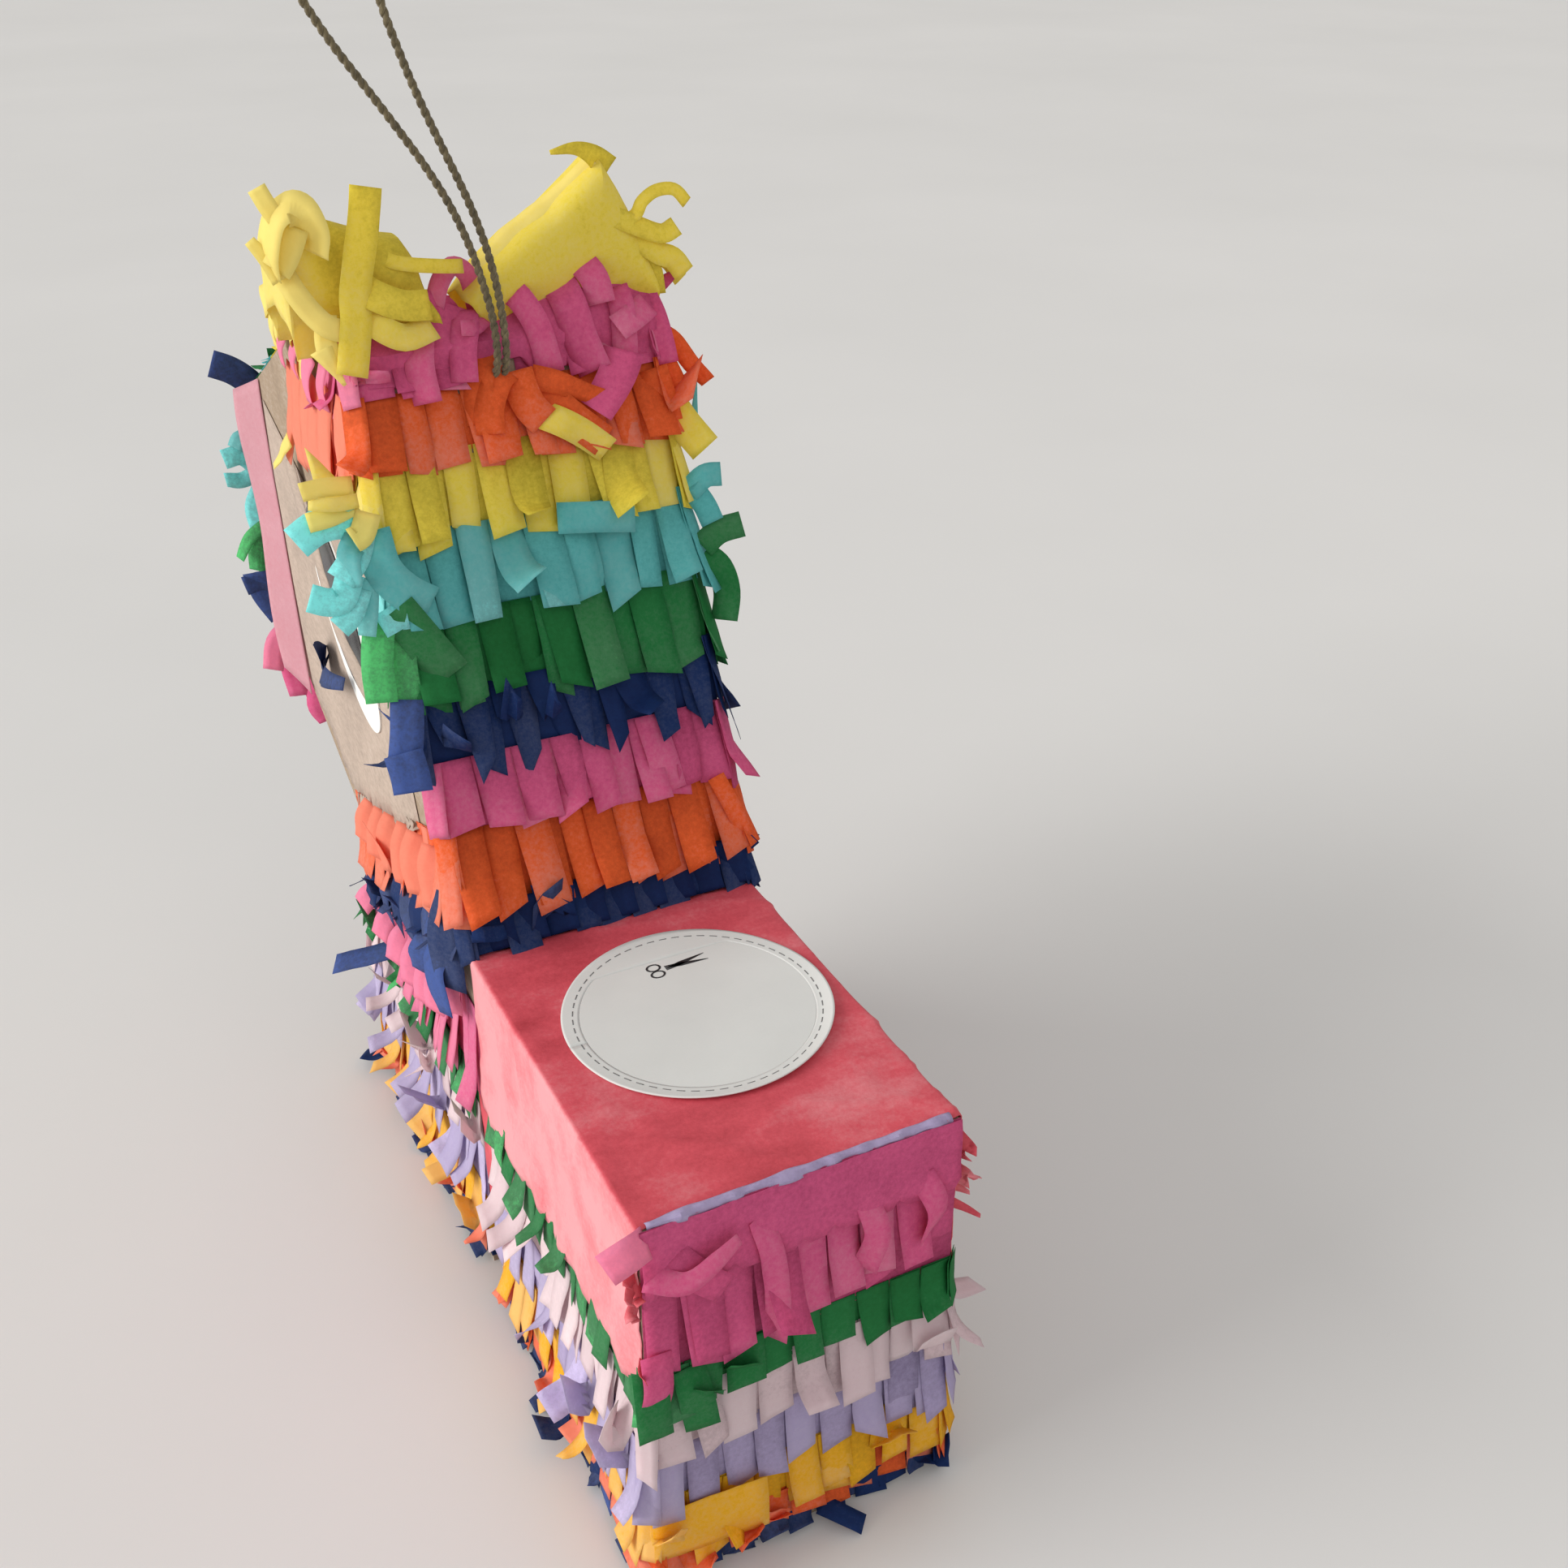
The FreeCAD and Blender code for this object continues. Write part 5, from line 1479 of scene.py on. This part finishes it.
def label_rim():
    """The part of the round label outside the line that is cut."""
    paper = Paper()
    lines = []
    count = 144
    for i in range(count + 1):
        turn = 2 * math.pi * i / count
        down = -math.sin(turn)
        inner = min(RIM_INNER, RIM_CHORD / down) if down > 0 else RIM_INNER
        lines.append([label_place(inner + (LABEL_RADIUS - inner) * j / 8, turn, -0.15) for j in range(9)])
    paper.grid(lines[:-1] + [lines[0]])
    paper.make("label_rim", LABEL, "label_paper", "label_ring", thickness=0.3)


def label_dashes():
    """The printed ring of dashes."""
    dashes = Paper()
    for i in range(58):
        start = 2 * math.pi * i / 58
        turns = [start + 0.065 * j / 3 for j in range(4)]
        dashes.grid([[label_place(r, turn, PRINT_RISE) for r in (29.3, 29.6)] for turn in turns])
    dashes.make("label_dashes", DASH_PRINT, "label_paper", thickness=0.02)


def label_scissors():
    """A printed pair of scissors on the flap."""
    draw = Paper()
    centre, along = Vector((-2.6, 204.6)), Vector((-1, -0.03)).normalized()
    beside = Vector((-along.y, along.x))

    def stroke(points, widths):
        """A printed line of this width through points given along and beside the scissors."""
        lines = []
        for (a, b), width in zip(points, widths):
            middle = centre + along * a + beside * b
            edges = (middle - beside * width / 2, middle + beside * width / 2)
            lines.append([spot(p.x, p.y, LABEL_TOP + PRINT_RISE) for p in edges])
        draw.grid(lines)

    for side in (1, -1):
        stroke([(0, 0.5 * side), (4, -0.2 * side), (11, -1.3 * side)], [0.9, 1.5, 0.2])
        ring = [2 * math.pi * i / 20 for i in range(21)]
        loop = [
            [(-2.6 + r * 1.3 * math.cos(a), 1.4 * side + r * math.sin(a)) for r in (1.5, 1.05)]
            for a in ring
        ]
        lines = [[centre + along * a + beside * b for a, b in pair] for pair in loop]
        draw.grid([[spot(p.x, p.y, LABEL_TOP + PRINT_RISE) for p in pair] for pair in lines])
    draw.make("label_scissors", PRINT, "label_paper", body="fill_flap", thickness=0.02)


# ---------------------------------------------------------------- hanging cord

CORD_ROUTE = [
    (0.00465, -0.0167, 0.237), (0.00465, -0.0124, 0.2387), (0.0046, -0.0089, 0.2419),
    (0.0044, -0.0077, 0.247), (0.0041, -0.0104, 0.2545), (0.0053, -0.012, 0.2616),
    (0.0075, -0.012, 0.2699), (0.0112, -0.012, 0.2793), (0.0161, -0.012, 0.2882),
    (0.0216, -0.012, 0.2966), (0.0276, -0.012, 0.3054), (0.034, -0.012, 0.3145),
    (0.0398, -0.012, 0.3245), (0.0455, -0.012, 0.3355), (0.0486, -0.012, 0.3475),
    (0.046, -0.012, 0.3585), (0.0365, -0.012, 0.362), (0.0283, -0.012, 0.355),
    (0.0254, -0.012, 0.3435), (0.0246, -0.012, 0.3325), (0.0228, -0.012, 0.3223),
    (0.0199, -0.012, 0.3127), (0.0165, -0.012, 0.3027), (0.0119, -0.012, 0.2916),
    (0.0077, -0.012, 0.2818), (0.0046, -0.012, 0.2727), (0.0027, -0.0117, 0.2645),
    (0.0019, -0.0102, 0.256), (0.0022, -0.0077, 0.2476), (0.00235, -0.0089, 0.2419),
    (0.00235, -0.0124, 0.2387), (0.00235, -0.0167, 0.237),
]
PLY_PITCH, PLY_RADIUS, PLY_OFFSET, PLY_SIDES = 0.0043, 0.00064, 0.00036, 8


def smooth_line(points):
    """Points along the NURBS curve that these points control."""
    curve = bpy.data.curves.new("route", "CURVE")
    curve.dimensions = "3D"
    spline = curve.splines.new("NURBS")
    spline.points.add(len(points) - 1)
    for knot, place in zip(spline.points, points):
        knot.co = (*place, 1)
    spline.order_u = 3
    spline.use_endpoint_u = True
    curve.resolution_u = 40
    holder = bpy.data.objects.new("route", curve)
    link(holder)
    bpy.context.view_layer.update()
    mesh = bpy.data.meshes.new_from_object(holder)
    line = [v.co.copy() for v in mesh.vertices]
    bpy.data.objects.remove(holder)
    return line


def ply_rings(mesh, line, ply):
    """Rings of corners along one ply, which winds round the line."""
    rings, run, across = [], 0.0, None
    for i, point in enumerate(line):
        ahead = (line[min(i + 1, len(line) - 1)] - line[max(i - 1, 0)]).normalized()
        across = ahead.orthogonal() if across is None else across - ahead * across.dot(ahead)
        across.normalize()
        beside = ahead.cross(across)
        run += (point - line[i - 1]).length if i else 0
        turn = 2 * math.pi * run / PLY_PITCH + math.pi * ply
        out = across * math.cos(turn) + beside * math.sin(turn)
        tangent = (ahead + 0.56 * (beside * math.cos(turn) - across * math.sin(turn))).normalized()
        over = tangent.cross(out).normalized()
        middle = point + out * PLY_OFFSET
        rings.append([
            mesh.verts.new(middle + (out * math.cos(a) + over * math.sin(a)) * PLY_RADIUS)
            for a in (2 * math.pi * s / PLY_SIDES for s in range(PLY_SIDES))
        ])
    return rings


def hanging_cord():
    """Two plies of twine twisted round the loop's line."""
    line = smooth_line(CORD_ROUTE)
    mesh = bmesh.new()
    for ply in range(2):
        rings = ply_rings(mesh, line, ply)
        for a, b in zip(rings, rings[1:]):
            for s in range(PLY_SIDES):
                after = (s + 1) % PLY_SIDES
                mesh.faces.new((a[s], a[after], b[after], b[s]))
        mesh.faces.new(list(reversed(rings[0])))
        mesh.faces.new(rings[-1])
    bmesh.ops.recalc_face_normals(mesh, faces=mesh.faces)
    data = bpy.data.meshes.new("hanging_cord_twine")
    mesh.to_mesh(data)
    mesh.free()
    data.polygons.foreach_set("use_smooth", [True] * len(data.polygons))
    data.materials.append(TWINE)
    cord = bpy.data.objects.new("hanging_cord_twine", data)
    link(cord)
    attach(cord, "hanging_cord")


# ---------------------------------------------------------------- carried-over CAD pieces


def finish_cad_pieces():
    """Gives each CAD node that stays in view its material: the one listed for it by name, or card."""
    special = {
        "fill_flap_paper": PAPER["coral"], "fill_flap_label": LABEL, "eye_whites": EYE_WHITE,
        "eye_pupils": EYE_BLACK, "cord_knot": TWINE, "cord_toggle": STICK,
    }
    for name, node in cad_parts.items():
        if node.hide_render:
            continue
        node.data.materials.clear()
        node.data.materials.append(special.get(name, CARD))


def make_floor():
    mesh = bpy.data.meshes.new("floor")
    reach = 4
    corners = [(-reach, -reach, 0), (reach, -reach, 0), (reach, reach, 0), (-reach, reach, 0)]
    mesh.from_pydata(corners, [], [(0, 1, 2, 3)])
    mesh.materials.append(floor_material())
    floor = bpy.data.objects.new("floor", mesh)
    link(floor)


make_camera()
make_lights()
make_floor()
hanging_cord()
low_rows()
high_rows()
rump_row()
shoulder_row()
neck_rows()
head_rows()
for name, side in (("left", 1), ("right", -1)):
    face_paper(name, side)
    bridle_strip(name, side)
crown()
right_ear()
left_ear()
saddle()
saddle_edge_trim()
girth_strap()
saddle_frayed_bits()
label_rim()
label_dashes()
label_scissors()
finish_cad_pieces()
